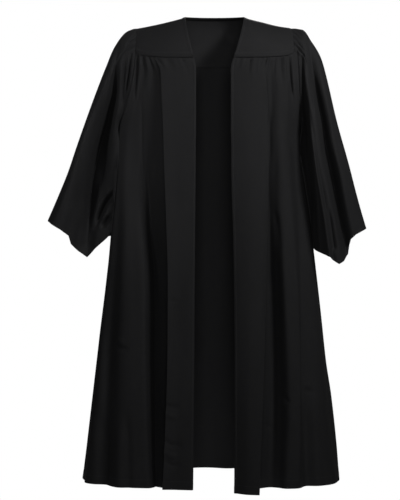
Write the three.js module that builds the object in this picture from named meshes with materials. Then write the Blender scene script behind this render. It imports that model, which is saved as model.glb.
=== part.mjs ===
// Choir robe: an open-front gown filled out as if worn, with no wearer inside.
// Units are millimetres. +Z is up, -Y is the front, +X is the wearer's left.
// The origin is midway between the two high points of the shoulders.
import * as THREE from "three";

// ---- Driving dimensions ----
const WALL = 2; // thickness of every cloth wall
const SEAM_GAP = 0.4; // air left between two pieces at a seam
const TAPE_WIDTH = 7.5; // turned strip along the neck and front edges
const TAPE_WALL = 1.2;
const TAPE_LIFT = 0.35; // air between a strip and the cloth it lies on
const NECK_HALF = 89; // half the neck's width at the shoulder line
const NAPE = { y: 70, z: 10 }; // middle of the back neck edge
const SHOULDER = { x: 232, z: -34 }; // shoulder tip, the top of each armhole
const ARMHOLE = { centre: -189.5, height: 155.5, depth: 85 }; // vertical ellipse, seen from the side
const YOKE_SEAM = { neck: -134, front: -109, back: -112, middle: -138 }; // heights of the yoke's lower edge
const SIDE_RISE = 6; // the hem is this much higher at the side seams
const PLAN_POWER = 0.8; // below 1 makes the body's plan squarer than an ellipse
const SEAM_BOW = 2.2; // how late along the yoke seam its ends turn up
const SHOULDER_BOW = 0.72; // below 1 drops the shoulder line faster beside the neck
const NECK_BOW = 2.2; // how late down the front neck edge it turns in
const NAPE_BOW = { y: 0.9, z: 0.6 }; // roundness of the back neck edge
const CUT = { reach: 0.9, least: 2, most: 12 }; // how the lines crowd together towards the armhole
const SEAM_LEAN = 0.4; // how far the cloth's cut edge leans out at the top of the armhole

// ---- The body's plan at each height: distances from the middle, and depths ----
// edge is the front opening's edge, side the side seam; right is the wearer's right, at -x.
const BODY = [
  { z: -134, rightEdge: 61, leftEdge: 55, rightSide: 276, leftSide: 272, front: -116, back: 116, seamY: 0 },
  { z: -168, rightEdge: 55, leftEdge: 47, rightSide: 280, leftSide: 272, front: -120, back: 119, seamY: 0 },
  { z: -345, rightEdge: 55, leftEdge: 47, rightSide: 290, leftSide: 257, front: -132, back: 124, seamY: 0 },
  { z: -400, rightEdge: 56, leftEdge: 48, rightSide: 294, leftSide: 260, front: -134, back: 126, seamY: 1 },
  { z: -450, rightEdge: 56, leftEdge: 48, rightSide: 298, leftSide: 266, front: -136, back: 128, seamY: 2 },
  { z: -550, rightEdge: 57, leftEdge: 50, rightSide: 302, leftSide: 281, front: -140, back: 135, seamY: 4 },
  { z: -690, rightEdge: 58, leftEdge: 54, rightSide: 313, leftSide: 297, front: -146, back: 150, seamY: 8 },
  { z: -1000, rightEdge: 60, leftEdge: 57, rightSide: 350, leftSide: 332, front: -158, back: 190, seamY: 14 },
  { z: -1388, rightEdge: 63, leftEdge: 56, rightSide: 396, leftSide: 376, front: -172, back: 240, seamY: 20 },
];

// ---- Lines that run down the cloth, with the heights at which they are given ----
const LEVELS = [-134, -180, -345, -550, -800, -1100, -1388];
// across: 0 at the opening's edge, 1 at the side seam. out: how far the line stands out of the plan.
// steps: how many columns of facets lie between this line and the next.
const RIGHT_LINES = [
  { line: "edge", steps: 1, across: [0, 0, 0, 0, 0, 0, 0], out: [0, 0, 0, 0, 0, 0, 0] },
  {
    line: "tape",
    steps: 2,
    across: [0.0222, 0.0212, 0.02, 0.0195, 0.0175, 0.0155, 0.0144],
    out: [0, 0, 1, 1, 1, 1, 2],
  },
  {
    line: "band",
    steps: 2,
    across: [0.21, 0.175, 0.145, 0.125, 0.105, 0.095, 0.095],
    out: [0, 3, 6, 9, 12, 14, 17],
  },
  {
    line: "pleat front",
    steps: 1,
    across: [0.385, 0.322, 0.262, 0.227, 0.187, 0.163, 0.165],
    out: [0, 7, 15, 22, 27, 32, 35],
  },
  {
    line: "pleat edge",
    steps: 1,
    across: [0.42, 0.35, 0.287, 0.25, 0.206, 0.183, 0.185],
    out: [0, 8, 17, 24, 30, 34, 37],
  },
  {
    line: "pleat back",
    steps: 1,
    across: [0.435, 0.352, 0.277, 0.238, 0.193, 0.169, 0.17],
    out: [0, 5, 10, 14, 18, 20, 22],
  },
  {
    line: "trough foot",
    steps: 2,
    across: [0.455, 0.375, 0.297, 0.257, 0.213, 0.187, 0.185],
    out: [0, 1, 3, 3, 3, 3, 3],
  },
  {
    line: "trough",
    steps: 2,
    across: [0.53, 0.49, 0.45, 0.4, 0.335, 0.275, 0.235],
    out: [0, 0, -4, -6, -6, -6, -4],
  },
  {
    line: "rise",
    steps: 2,
    across: [0.63, 0.6, 0.57, 0.52, 0.45, 0.39, 0.34],
    out: [0, 1, 2, 2, 2, 2, 3],
  },
  {
    line: "ridge",
    steps: 2,
    across: [0.72, 0.7, 0.69, 0.65, 0.58, 0.5, 0.45],
    out: [0, 2, 7, 8, 7, 7, 9],
  },
  {
    line: "hollow",
    steps: 2,
    across: [0.8, 0.79, 0.81, 0.75, 0.69, 0.63, 0.59],
    out: [0, 0, 2, 2, 0, -3, -5],
  },
  {
    line: "side ridge",
    steps: 2,
    across: [0.88, 0.88, 0.88, 0.84, 0.8, 0.76, 0.74],
    out: [0, 0, 1, 3, 6, 9, 10],
  },
  {
    line: "side hollow",
    steps: 1,
    across: [0.945, 0.945, 0.95, 0.93, 0.91, 0.9, 0.88],
    out: [0, 0, 0, 0, 0, -2, -3],
  },
  { line: "side", steps: 0, across: [1, 1, 1, 1, 1, 1, 1], out: [0, 0, 0, 0, 0, 0, 0] },
];
const LEFT_LINES = [
  { line: "edge", steps: 1, across: [0, 0, 0, 0, 0, 0, 0], out: [0, 0, 0, 0, 0, 0, 0] },
  {
    line: "tape",
    steps: 2,
    across: [0.022, 0.0213, 0.0222, 0.0205, 0.0185, 0.0165, 0.015],
    out: [0, 0, 1, 1, 1, 2, 2],
  },
  {
    line: "band",
    steps: 2,
    across: [0.19, 0.18, 0.17, 0.15, 0.12, 0.088, 0.068],
    out: [0, 2, 5, 8, 11, 14, 19],
  },
  {
    line: "pleat front",
    steps: 1,
    across: [0.32, 0.31, 0.318, 0.278, 0.217, 0.154, 0.114],
    out: [0, 4, 10, 17, 23, 30, 37],
  },
  {
    line: "pleat edge",
    steps: 1,
    across: [0.345, 0.335, 0.345, 0.304, 0.24, 0.175, 0.133],
    out: [0, 4, 12, 20, 26, 33, 40],
  },
  {
    line: "pleat back",
    steps: 1,
    across: [0.36, 0.35, 0.343, 0.294, 0.228, 0.162, 0.119],
    out: [0, 2, 7, 12, 16, 20, 24],
  },
  {
    line: "trough foot",
    steps: 2,
    across: [0.38, 0.37, 0.365, 0.314, 0.248, 0.181, 0.136],
    out: [0, 0, 1, 1, 2, 2, 3],
  },
  {
    line: "trough",
    steps: 2,
    across: [0.44, 0.435, 0.43, 0.38, 0.33, 0.27, 0.215],
    out: [0, -1, -3, -5, -6, -6, -4],
  },
  {
    line: "ridge",
    steps: 2,
    across: [0.54, 0.54, 0.54, 0.5, 0.45, 0.39, 0.34],
    out: [0, 2, 6, 8, 8, 10, 10],
  },
  {
    line: "hollow",
    steps: 2,
    across: [0.66, 0.66, 0.68, 0.64, 0.57, 0.49, 0.47],
    out: [0, 0, 0, 1, 0, -5, -7],
  },
  {
    line: "side ridge",
    steps: 2,
    across: [0.79, 0.79, 0.81, 0.78, 0.74, 0.68, 0.65],
    out: [0, 0, 3, 4, 5, 6, 8],
  },
  {
    line: "side hollow",
    steps: 2,
    across: [0.91, 0.91, 0.92, 0.9, 0.88, 0.85, 0.83],
    out: [0, 0, 0, 0, -1, -2, -3],
  },
  { line: "side", steps: 0, across: [1, 1, 1, 1, 1, 1, 1], out: [0, 0, 0, 0, 0, 0, 0] },
];

// ---- Flutes of the back: across is -1 at the right side seam and 1 at the left; out is at the hem ----
const FLUTES = [
  { across: -1, out: 0 },
  { across: -0.91, out: -10 },
  { across: -0.8, out: 17 },
  { across: -0.67, out: -15 },
  { across: -0.56, out: 13 },
  { across: -0.43, out: -17 },
  { across: -0.3, out: 15 },
  { across: -0.19, out: -9 },
  { across: -0.05, out: 8 },
  { across: 0.08, out: -7 },
  { across: 0.2, out: 12 },
  { across: 0.32, out: -15 },
  { across: 0.45, out: 16 },
  { across: 0.59, out: -14 },
  { across: 0.74, out: 18 },
  { across: 0.9, out: -11 },
  { across: 1, out: 0 },
];
const FLUTE_SHARE = [0, 0.2, 0.34, 0.5, 0.66, 0.84, 1]; // share of a flute's height at each of LEVELS

// ---- Sleeves: the top line from the shoulder tip to the cuff, and the under line from the underarm ----
const RIGHT_SLEEVE = {
  side: -1,
  armholeReach: 58, // how far out the underarm lies from the shoulder tip
  armholePower: 2.4, // keeps the armhole's upper part upright
  top: [[232, -34], [258, -41], [297, -88], [321, -145], [362, -247], [413, -391], [438, -463], [499, -607]],
  under: [[290, -345], [296, -361], [303, -420], [308, -500], [312, -575], [316, -642]],
  depth: [85, 98, 104, 106, 104],
  drop: [
    [0, 0], [60, 22], [75, 50], [90, 76], [107, 86], [134, 44], [150, 20],
    [180, 0], [225, 34], [270, 52], [315, 26], [360, 0],
  ],
};
const LEFT_SLEEVE = {
  side: 1,
  armholeReach: 25,
  armholePower: 1.3,
  top: [[232, -34], [262, -37], [289, -73], [316, -121], [332, -175], [366, -319], [406, -463], [451, -630]],
  under: [[257, -345], [264.5, -360], [271, -420], [283, -500], [294, -575], [304, -670]],
  depth: [85, 98, 103, 104, 102],
  drop: [
    [0, 0], [40, 1], [55, 4], [70, 44], [84, 74], [99, 82], [120, 58], [145, 34],
    [180, 0], [225, 30], [270, 50], [315, 28], [360, 0],
  ],
};
// Folds down a sleeve: the angle round it (0 on the top line, 90 in front, 180 under) and the height of
// the fold at the cap, the middle and the cuff, with its width in degrees. A trough is negative.
const RIGHT_SLEEVE_FOLDS = [
  { fold: "outer roll", angle: [30, 42, 40], width: 40, out: [6, 12, 10] },
  { fold: "deep fold", angle: [60, 82, 84], width: 26, out: [-10, -24, -6] },
  { fold: "inner drape", angle: [92, 118, 112], width: 34, out: [6, 6, 12] },
  { fold: "under hollow", angle: [140, 150, 148], width: 24, out: [0, -8, -6] },
  { fold: "back roll", angle: [218, 217, 216], width: 36, out: [9, 20, 18] },
  { fold: "back trough", angle: [268, 272, 276], width: 28, out: [-6, -16, -12] },
  { fold: "back outer roll", angle: [318, 316, 316], width: 34, out: [5, 9, 10] },
];
const LEFT_SLEEVE_FOLDS = [
  { fold: "outer roll", angle: [24, 30, 30], width: 30, out: [6, 9, 8] },
  { fold: "outer fold", angle: [44, 60, 64], width: 22, out: [-8, -16, -10] },
  { fold: "front roll", angle: [72, 92, 96], width: 32, out: [6, 13, 12] },
  { fold: "inner fold", angle: [104, 132, 140], width: 30, out: [-8, -20, -10] },
  { fold: "back roll", angle: [218, 217, 216], width: 36, out: [9, 20, 18] },
  { fold: "back trough", angle: [262, 258, 262], width: 28, out: [-6, -15, -13] },
  { fold: "back outer roll", angle: [310, 306, 304], width: 34, out: [5, 10, 11] },
];

// ---- Facets ----
const YOKE_ROWS = 5; // down each yoke
const ARMHOLE_ROWS = 8; // from the yoke seam to the underarm
const SKIRT_ROWS = 8; // from the underarm to the hem
const SLEEVE_ROWS = [0, 0.04, 0.1, 0.18, 0.28, 0.39, 0.5, 0.62, 0.75, 0.88, 1]; // down the sleeve

// ---- Small helpers ----
const clamp = (value, low, high) => Math.min(high, Math.max(low, value));
const mix = (a, b, t) => a + (b - a) * t;
const RIGHT_ANGLE = Math.PI / 2;
const point = (x, y, z) => new THREE.Vector3(x, y, z);
const range = (count, f) => Array.from({ length: count }, (_, i) => f(i));

// A smooth curve through values given at rising positions; it never swings past a value.
function through(positions, values) {
  const last = positions.length - 1;
  const slope = range(last, (i) => (values[i + 1] - values[i]) / (positions[i + 1] - positions[i]));
  const tangent = range(last + 1, (i) => {
    if (i === 0) return slope[0];
    if (i === last) return slope[last - 1];
    const product = slope[i - 1] * slope[i];
    return product <= 0 ? 0 : (2 * product) / (slope[i - 1] + slope[i]);
  });
  return (at) => {
    const x = clamp(at, positions[0], positions[last]);
    let i = 0;
    while (i < last - 1 && x > positions[i + 1]) i += 1;
    const span = positions[i + 1] - positions[i];
    const t = (x - positions[i]) / span;
    const s = 1 - t;
    return (
      values[i] * (1 + 2 * t) * s * s +
      tangent[i] * span * t * s * s +
      values[i + 1] * (3 - 2 * t) * t * t -
      tangent[i + 1] * span * t * t * s
    );
  };
}

const byHeight = (heights, values) => {
  const curve = through(heights.map((z) => -z), values);
  return (z) => curve(-z);
};
const body = Object.fromEntries(
  Object.keys(BODY[0]).map((key) => [key, byHeight(BODY.map((row) => row.z), BODY.map((row) => row[key]))]),
);
const sideName = (side) => (side < 0 ? "right" : "left");
const sleeveOf = (side) => (side < 0 ? RIGHT_SLEEVE : LEFT_SLEEVE);
const UNDERARM = ARMHOLE.centre - ARMHOLE.height;
const HEM = BODY[BODY.length - 1].z;

// ---- Armholes ----
// The armhole's seam at an angle from its top; facing is -1 along the front and 1 along the back.
function armhole(side, angle, facing) {
  const { armholeReach, armholePower } = sleeveOf(side);
  const down = (1 - Math.cos(angle)) / 2;
  return point(
    side * (SHOULDER.x + armholeReach * down ** armholePower),
    facing * ARMHOLE.depth * Math.sin(angle),
    ARMHOLE.centre + ARMHOLE.height * Math.cos(angle),
  );
}
const armholeAngle = (z) => Math.acos(clamp((z - ARMHOLE.centre) / ARMHOLE.height, -1, 1));

// The direction that the cloth's edge faces inwards at the armhole, shared by every piece sewn to it.
function armholeInward(side, angle, facing) {
  const lean = (SEAM_LEAN * (1 + Math.cos(angle))) / 2;
  return point(-side * lean, -facing * Math.sin(angle), -Math.cos(angle)).normalize();
}
const seamAngle = { front: armholeAngle(YOKE_SEAM.front), back: armholeAngle(YOKE_SEAM.back) };
const yokeAngles = (facing) =>
  range(YOKE_ROWS + 1, (i) => ((facing < 0 ? seamAngle.front : seamAngle.back) * i) / YOKE_ROWS);
const bodyAngles = (facing) => {
  const start = facing < 0 ? seamAngle.front : seamAngle.back;
  return range(ARMHOLE_ROWS + 1, (i) => mix(start, Math.PI, i / ARMHOLE_ROWS));
};

// ---- The body's plan ----
// A point of the plan at a height: across runs from 0 at the middle (or the opening) to 1 at the side.
// Above the underarm the same curve is cut off where the armhole crosses it.
function plan(side, facing, z, across) {
  const name = sideName(side);
  const innerX = facing < 0 ? body[`${name}Edge`](z) : 0;
  const innerY = facing < 0 ? body.front(z) : body.back(z);
  const seamY = body.seamY(z);
  let outerX = body[`${name}Side`](z);
  let turn = across;
  if (z > UNDERARM) {
    const rim = armhole(side, armholeAngle(z), facing);
    const cut = Math.acos(((rim.y - seamY) / (innerY - seamY)) ** (1 / PLAN_POWER));
    const lost = 1 - cut / RIGHT_ANGLE;
    outerX = innerX + (Math.abs(rim.x) - innerX) / Math.sin(cut);
    turn = across - lost * across ** clamp(CUT.reach / lost, CUT.least, CUT.most);
  }
  const x = mix(innerX, outerX, Math.sin(turn * RIGHT_ANGLE));
  const y = mix(seamY, innerY, Math.max(Math.cos(turn * RIGHT_ANGLE), 0) ** PLAN_POWER);
  return point(side * x, y, z);
}

// A point on the cloth, out of the plan by a distance measured square to it.
function cloth(side, facing, z, across, out) {
  const step = 0.004;
  const before = plan(side, facing, z, Math.max(across - step, 0));
  const after = plan(side, facing, z, Math.min(across + step, 1));
  const along = after.sub(before).normalize();
  const turn = side * facing;
  return plan(side, facing, z, across).add(point(-along.y * turn, along.x * turn, 0).multiplyScalar(out));
}

// ---- Yoke seams, which the fronts and the back hang from ----
function frontSeam(side, across) {
  const z = mix(YOKE_SEAM.neck, YOKE_SEAM.front, across ** SEAM_BOW);
  const at = plan(side, -1, z, across);
  return point(at.x, at.y, z);
}
function backSeam(across) {
  const z = mix(YOKE_SEAM.middle, YOKE_SEAM.back, Math.abs(across) ** SEAM_BOW);
  return plan(Math.sign(across) || 1, 1, z, Math.abs(across));
}

// ---- Shells ----
// Inward directions of a grid of points, from its own slopes; they point towards a given point.
function inwardOf(grid, centre, closed) {
  const rows = grid.length;
  const columns = grid[0].length;
  const result = grid.map((row, i) =>
    row.map((_, j) => {
      const down = grid[Math.min(i + 1, rows - 1)][j].clone().sub(grid[Math.max(i - 1, 0)][j]);
      const next = closed ? (j + 1) % columns : Math.min(j + 1, columns - 1);
      const previous = closed ? (j + columns - 1) % columns : Math.max(j - 1, 0);
      const over = row[next].clone().sub(row[previous]);
      return down.cross(over).normalize();
    }),
  );
  let facing = 0;
  grid.forEach((row, i) =>
    row.forEach((at, j) => {
      facing += result[i][j].dot(centre(at).sub(at).normalize());
    }),
  );
  if (facing < 0) result.forEach((row) => row.forEach((direction) => direction.negate()));
  return result;
}

// One closed wall between a grid of outer points and the same points moved inwards.
function wall(grid, inward, thickness, closed = false) {
  const rows = grid.length;
  const columns = grid[0].length;
  const inner = grid.map((row, i) =>
    row.map((at, j) => at.clone().addScaledVector(inward[i][j], thickness)),
  );
  const vertices = [...grid.flat(), ...inner.flat()];
  const outerAt = (i, j) => i * columns + (j % columns);
  const innerAt = (i, j) => rows * columns + outerAt(i, j);
  const index = [];
  const quad = (a, b, c, d) => index.push(a, b, c, a, c, d);
  // A quad of the cut edge is split from its lower outer point, so that two walls' edges match at a seam.
  const edgeQuad = (a, b, c, d) => (vertices[a].z < vertices[b].z ? quad(a, b, c, d) : quad(b, c, d, a));
  const spans = closed ? columns : columns - 1;
  for (let i = 0; i < rows - 1; i += 1) {
    for (let j = 0; j < spans; j += 1) {
      quad(outerAt(i, j), outerAt(i, j + 1), outerAt(i + 1, j + 1), outerAt(i + 1, j));
      quad(innerAt(i, j), innerAt(i + 1, j), innerAt(i + 1, j + 1), innerAt(i, j + 1));
    }
    if (!closed) {
      const end = columns - 1;
      edgeQuad(outerAt(i, 0), outerAt(i + 1, 0), innerAt(i + 1, 0), innerAt(i, 0));
      edgeQuad(outerAt(i + 1, end), outerAt(i, end), innerAt(i, end), innerAt(i + 1, end));
    }
  }
  for (let j = 0; j < spans; j += 1) {
    const end = rows - 1;
    edgeQuad(outerAt(0, j + 1), outerAt(0, j), innerAt(0, j), innerAt(0, j + 1));
    edgeQuad(outerAt(end, j), outerAt(end, j + 1), innerAt(end, j + 1), innerAt(end, j));
  }
  let volume = 0;
  for (let k = 0; k < index.length; k += 3) {
    const [a, b, c] = [0, 1, 2].map((n) => vertices[index[k + n]]);
    volume += a.dot(b.clone().cross(c));
  }
  if (volume < 0) index.reverse();
  const geometry = new THREE.BufferGeometry();
  const positions = vertices.flatMap((vertex) => vertex.toArray());
  geometry.setAttribute("position", new THREE.Float32BufferAttribute(positions, 3));
  geometry.setIndex(index);
  geometry.computeVertexNormals();
  return geometry;
}

// ---- Columns of facets, from the lines down the cloth ----
// Each column is a smooth blend of the lines on its two sides.
function columnsBetween(lines) {
  const columns = [];
  const positions = lines.map((_, i) => i);
  lines.forEach((line, i) => {
    range(Math.max(line.steps, 1), (k) => {
      if (i === lines.length - 1 && k > 0) return;
      columns.push(i + k / Math.max(line.steps, 1));
    });
  });
  const acrossAt = lines.map((line) => byHeight(LEVELS, line.across));
  const outAt = lines.map((line) => byHeight(LEVELS, line.out));
  return columns.map((column) => (z) => ({
    across: through(positions, acrossAt.map((f) => f(z)))(column),
    out: through(positions, outAt.map((f) => f(z)))(column),
  }));
}
const frontColumns = { right: columnsBetween(RIGHT_LINES), left: columnsBetween(LEFT_LINES) };
const backColumns = columnsBetween(
  FLUTES.map(({ across, out }) => ({
    steps: 2,
    across: LEVELS.map(() => across),
    out: FLUTE_SHARE.map((share) => share * out),
  })),
);

// ---- Yokes: a patch between the shoulder line, the yoke seam, the neck and the armhole ----
function patch(top, bottom, start, end) {
  return (u, v) => {
    const ruled = top(u).multiplyScalar(1 - v).add(bottom(u).multiplyScalar(v));
    const sides = start(v).multiplyScalar(1 - u).add(end(v).multiplyScalar(u));
    const upper = top(0).multiplyScalar(1 - u).add(top(1).multiplyScalar(u));
    const lower = bottom(0).multiplyScalar(1 - u).add(bottom(1).multiplyScalar(u));
    return ruled.add(sides).sub(upper.multiplyScalar(1 - v)).sub(lower.multiplyScalar(v));
  };
}
const shoulderLine = (side, u) =>
  point(side * mix(NECK_HALF, SHOULDER.x, u), 0, SHOULDER.z * u ** SHOULDER_BOW);

function frontNeckEdge(side, v) {
  const end = frontSeam(side, 0);
  const turn = v * RIGHT_ANGLE;
  const x = mix(NECK_HALF, Math.abs(end.x), v ** NECK_BOW);
  return point(side * x, end.y * Math.sin(turn), end.z * (1 - Math.cos(turn)));
}

function backNeckEdge(across) {
  const turn = across * RIGHT_ANGLE;
  const inside = Math.cos(turn);
  return point(NECK_HALF * Math.sin(turn), NAPE.y * inside ** NAPE_BOW.y, NAPE.z * inside ** NAPE_BOW.z);
}

function frontYokeGrid(side) {
  const columns = frontColumns[sideName(side)].map((column) => column(LEVELS[0]).across);
  const surface = patch(
    (u) => shoulderLine(side, u),
    (u) => frontSeam(side, u),
    (v) => frontNeckEdge(side, v),
    (v) => armhole(side, v * seamAngle.front, -1),
  );
  const grid = range(YOKE_ROWS + 1, (i) => columns.map((u) => surface(u, i / YOKE_ROWS)));
  grid[0].forEach((at) => at.setY(-SEAM_GAP / 2));
  return grid;
}

// The back yoke's columns stand on the back's columns; its upper edge is shoulder, neck, shoulder.
const NECK_SHARE = 0.42; // share of the back yoke's half width that lies under the neck
function backYokeTop(across) {
  const share = Math.abs(across);
  const side = Math.sign(across) || 1;
  if (share < NECK_SHARE) return backNeckEdge(side * (share / NECK_SHARE));
  return shoulderLine(side, (share - NECK_SHARE) / (1 - NECK_SHARE));
}
const NECK_BAND_DEPTH = 9;

function backYokeGrid() {
  const columns = backColumns.map((column) => column(LEVELS[0]).across);
  const surface = patch(
    (u) => backYokeTop(2 * u - 1),
    (u) => backSeam(2 * u - 1),
    (v) => armhole(-1, v * seamAngle.back, 1),
    (v) => armhole(1, v * seamAngle.back, 1),
  );
  const drop = NAPE.z - YOKE_SEAM.middle;
  return range(YOKE_ROWS + 1, (i) =>
    columns.map((across) => {
      const under = Math.abs(across) < NECK_SHARE;
      const v = i === 1 && under ? NECK_BAND_DEPTH / drop : i / YOKE_ROWS;
      const at = surface((across + 1) / 2, v);
      if (i === 0 && !under) at.y = SEAM_GAP / 2;
      return at;
    }),
  );
}

// ---- Long panels ----
function panelHeights(top, facing, across) {
  const angles = bodyAngles(facing);
  const start = armhole(1, angles[0], facing).z;
  const shares = angles.map((angle) => (armhole(1, angle, facing).z - start) / (UNDERARM - start));
  const hem = HEM + SIDE_RISE * across ** 2;
  return [
    ...shares.map((share) => mix(top - (share === 0 ? SEAM_GAP : 0), UNDERARM, share)),
    ...range(SKIRT_ROWS, (i) => mix(UNDERARM, hem, (i + 1) / SKIRT_ROWS)),
  ];
}
const HEM_DIP = 9; // the left front's band hangs this much lower than the rest of the hem
const dipEdge = byHeight(LEVELS, LEFT_LINES.find(({ line }) => line === "pleat edge").across);

function frontGrid(side) {
  const columns = frontColumns[sideName(side)];
  const heights = columns.map((column) => {
    const { across } = column(LEVELS[0]);
    return panelHeights(frontSeam(side, across).z, -1, across);
  });
  return range(heights[0].length, (i) =>
    columns.map((column, j) => {
      const z = heights[j][i];
      const { across, out } = column(z);
      const at = cloth(side, -1, z, across, i === 0 ? 0 : out);
      const low = clamp((UNDERARM - z) / (UNDERARM - HEM), 0, 1);
      if (side > 0 && across <= dipEdge(z)) at.z -= HEM_DIP * low ** 2;
      if (j === columns.length - 1 && i >= ARMHOLE_ROWS) at.y -= SEAM_GAP / 2;
      return at;
    }),
  );
}

function backGrid() {
  const heights = backColumns.map((column) => {
    const { across } = column(LEVELS[0]);
    return panelHeights(backSeam(across).z, 1, across);
  });
  return range(heights[0].length, (i) =>
    backColumns.map((column, j) => {
      const z = heights[j][i];
      const { across, out } = column(z);
      const side = Math.sign(across) || 1;
      const at = cloth(side, 1, z, Math.abs(across), i === 0 ? 0 : out);
      if ((j === 0 || j === backColumns.length - 1) && i >= ARMHOLE_ROWS) at.y += SEAM_GAP / 2;
      return at;
    }),
  );
}

// ---- Sleeves ----
const DEPTH_STATIONS = [0, 0.25, 0.5, 0.75, 1]; // shares of the sleeve's length at which depth is given
const FOLD_STATIONS = [0, 0.12, 0.5, 1]; // a fold starts from nothing at the armhole's seam
const ARMHOLE_FADE = 16; // how fast the armhole's own curve fades down the sleeve
const DROP_BOW = 1.6; // how late down the sleeve the cuff's dips begin

// The ring of angles round an armhole that all the pieces sewn to it share.
const armholeAngles = (facing) => [...yokeAngles(facing), ...bodyAngles(facing).slice(1)];
const armholeRing = [
  ...armholeAngles(-1).map((angle) => ({ angle, facing: -1 })),
  ...armholeAngles(1).slice(1, -1).reverse().map((angle) => ({ angle, facing: 1 })),
];

function sleeveLine(points) {
  const lengths = [0];
  points.slice(1).forEach((p, i) => {
    lengths.push(lengths[i] + Math.hypot(p[0] - points[i][0], p[1] - points[i][1]));
  });
  const shares = lengths.map((length) => length / lengths[lengths.length - 1]);
  const x = through(shares, points.map((p) => p[0]));
  const z = through(shares, points.map((p) => p[1]));
  return (t) => point(x(t), 0, z(t));
}

function sleeveGrid(sleeve, folds) {
  const { side } = sleeve;
  const top = sleeveLine(sleeve.top);
  const under = sleeveLine(sleeve.under);
  const depth = through(DEPTH_STATIONS, sleeve.depth);
  const dropAt = through(sleeve.drop.map((d) => d[0]), sleeve.drop.map((d) => d[1]));
  const foldOut = (degrees, t) =>
    folds.reduce((sum, fold) => {
      const centre = through([0, 0.5, 1], fold.angle)(t);
      const reach = Math.abs(degrees - centre) / fold.width;
      const height = through(FOLD_STATIONS, [0, ...fold.out])(t);
      return sum + (reach < 1 ? height * Math.cos(reach * RIGHT_ANGLE) ** 2 : 0);
    }, 0);
  return SLEEVE_ROWS.map((t) =>
    armholeRing.map(({ angle, facing }) => {
      const c = Math.cos(angle);
      const fromTop = THREE.MathUtils.radToDeg(angle);
      const degrees = facing < 0 ? fromTop : 360 - fromTop;
      const a = top(t);
      const b = under(t);
      const at = a.clone().multiplyScalar((1 + c) / 2).addScaledVector(b, (1 - c) / 2);
      const seam = armhole(side, angle, facing);
      const straight = mix(SHOULDER.x, SHOULDER.x + sleeve.armholeReach, (1 - c) / 2);
      at.x += (Math.abs(seam.x) - straight) * (1 - t) ** ARMHOLE_FADE;
      at.x += SEAM_GAP * (1 - t);
      at.y = facing * depth(t) * Math.sin(angle);
      const radial = a.sub(b).normalize().multiplyScalar(c);
      radial.y = facing * Math.sin(angle);
      at.addScaledVector(radial.normalize(), foldOut(degrees, t));
      at.z -= dropAt(degrees) * t ** DROP_BOW;
      return point(side * at.x, at.y, at.z);
    }),
  );
}

// ---- The robe ----
const robe = new THREE.Group();
robe.name = "choir_robe";

function add(name, geometry, color, roughness) {
  const mesh = new THREE.Mesh(geometry, new THREE.MeshStandardMaterial({ color, roughness, metalness: 0 }));
  mesh.name = name;
  robe.add(mesh);
}
const CLOTH = { color: 0x141414, roughness: 0.82 };
const TAPE = { color: 0x1a1a1a, roughness: 0.74 };
const bodyCentre = (at) => point(0, 0, Math.min(at.z, UNDERARM / 2));

function frontSide(side) {
  const name = sideName(side);
  const yoke = frontYokeGrid(side);
  const panel = frontGrid(side);
  const yokeInward = inwardOf(yoke, () => point(side * (SHOULDER.x / 2), 0, UNDERARM), false);
  const panelInward = inwardOf(panel, bodyCentre, false);
  const end = yoke[0].length - 1;
  yoke.forEach((_, i) => {
    yokeInward[i][end] = armholeInward(side, yokeAngles(-1)[i], -1);
  });
  yokeInward[0].forEach((direction, j) => {
    if (j < end) direction.set(0, 0, -1);
  });
  yokeInward[YOKE_ROWS].forEach((direction) => direction.setZ(0).normalize());
  panelInward[0] = yokeInward[YOKE_ROWS].map((direction) => direction.clone());
  panelInward.forEach((row) => {
    row[end] = point(-side, 0, 0);
  });
  bodyAngles(-1).forEach((angle, i) => {
    panelInward[i][end] = armholeInward(side, angle, -1);
  });
  add(`yoke_front_${name}`, wall(yoke, yokeInward, WALL), CLOTH.color, CLOTH.roughness);
  add(`front_${name}`, wall(panel, panelInward, WALL), CLOTH.color, CLOTH.roughness);

  // The strip lies on the first column of the yoke and then of the front.
  const strip = [...yoke, ...panel.slice(1)];
  const stripInward = [...yokeInward, ...panelInward.slice(1)];
  const edge = strip.map((row, i) =>
    [0, 1].map((j) => row[j].clone().addScaledVector(stripInward[i][j], -(TAPE_LIFT + TAPE_WALL))),
  );
  const edgeInward = stripInward.map((row) => [row[0], row[1]]);
  add(`edge_band_${name}`, wall(edge, edgeInward, TAPE_WALL), TAPE.color, TAPE.roughness);
}

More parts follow.
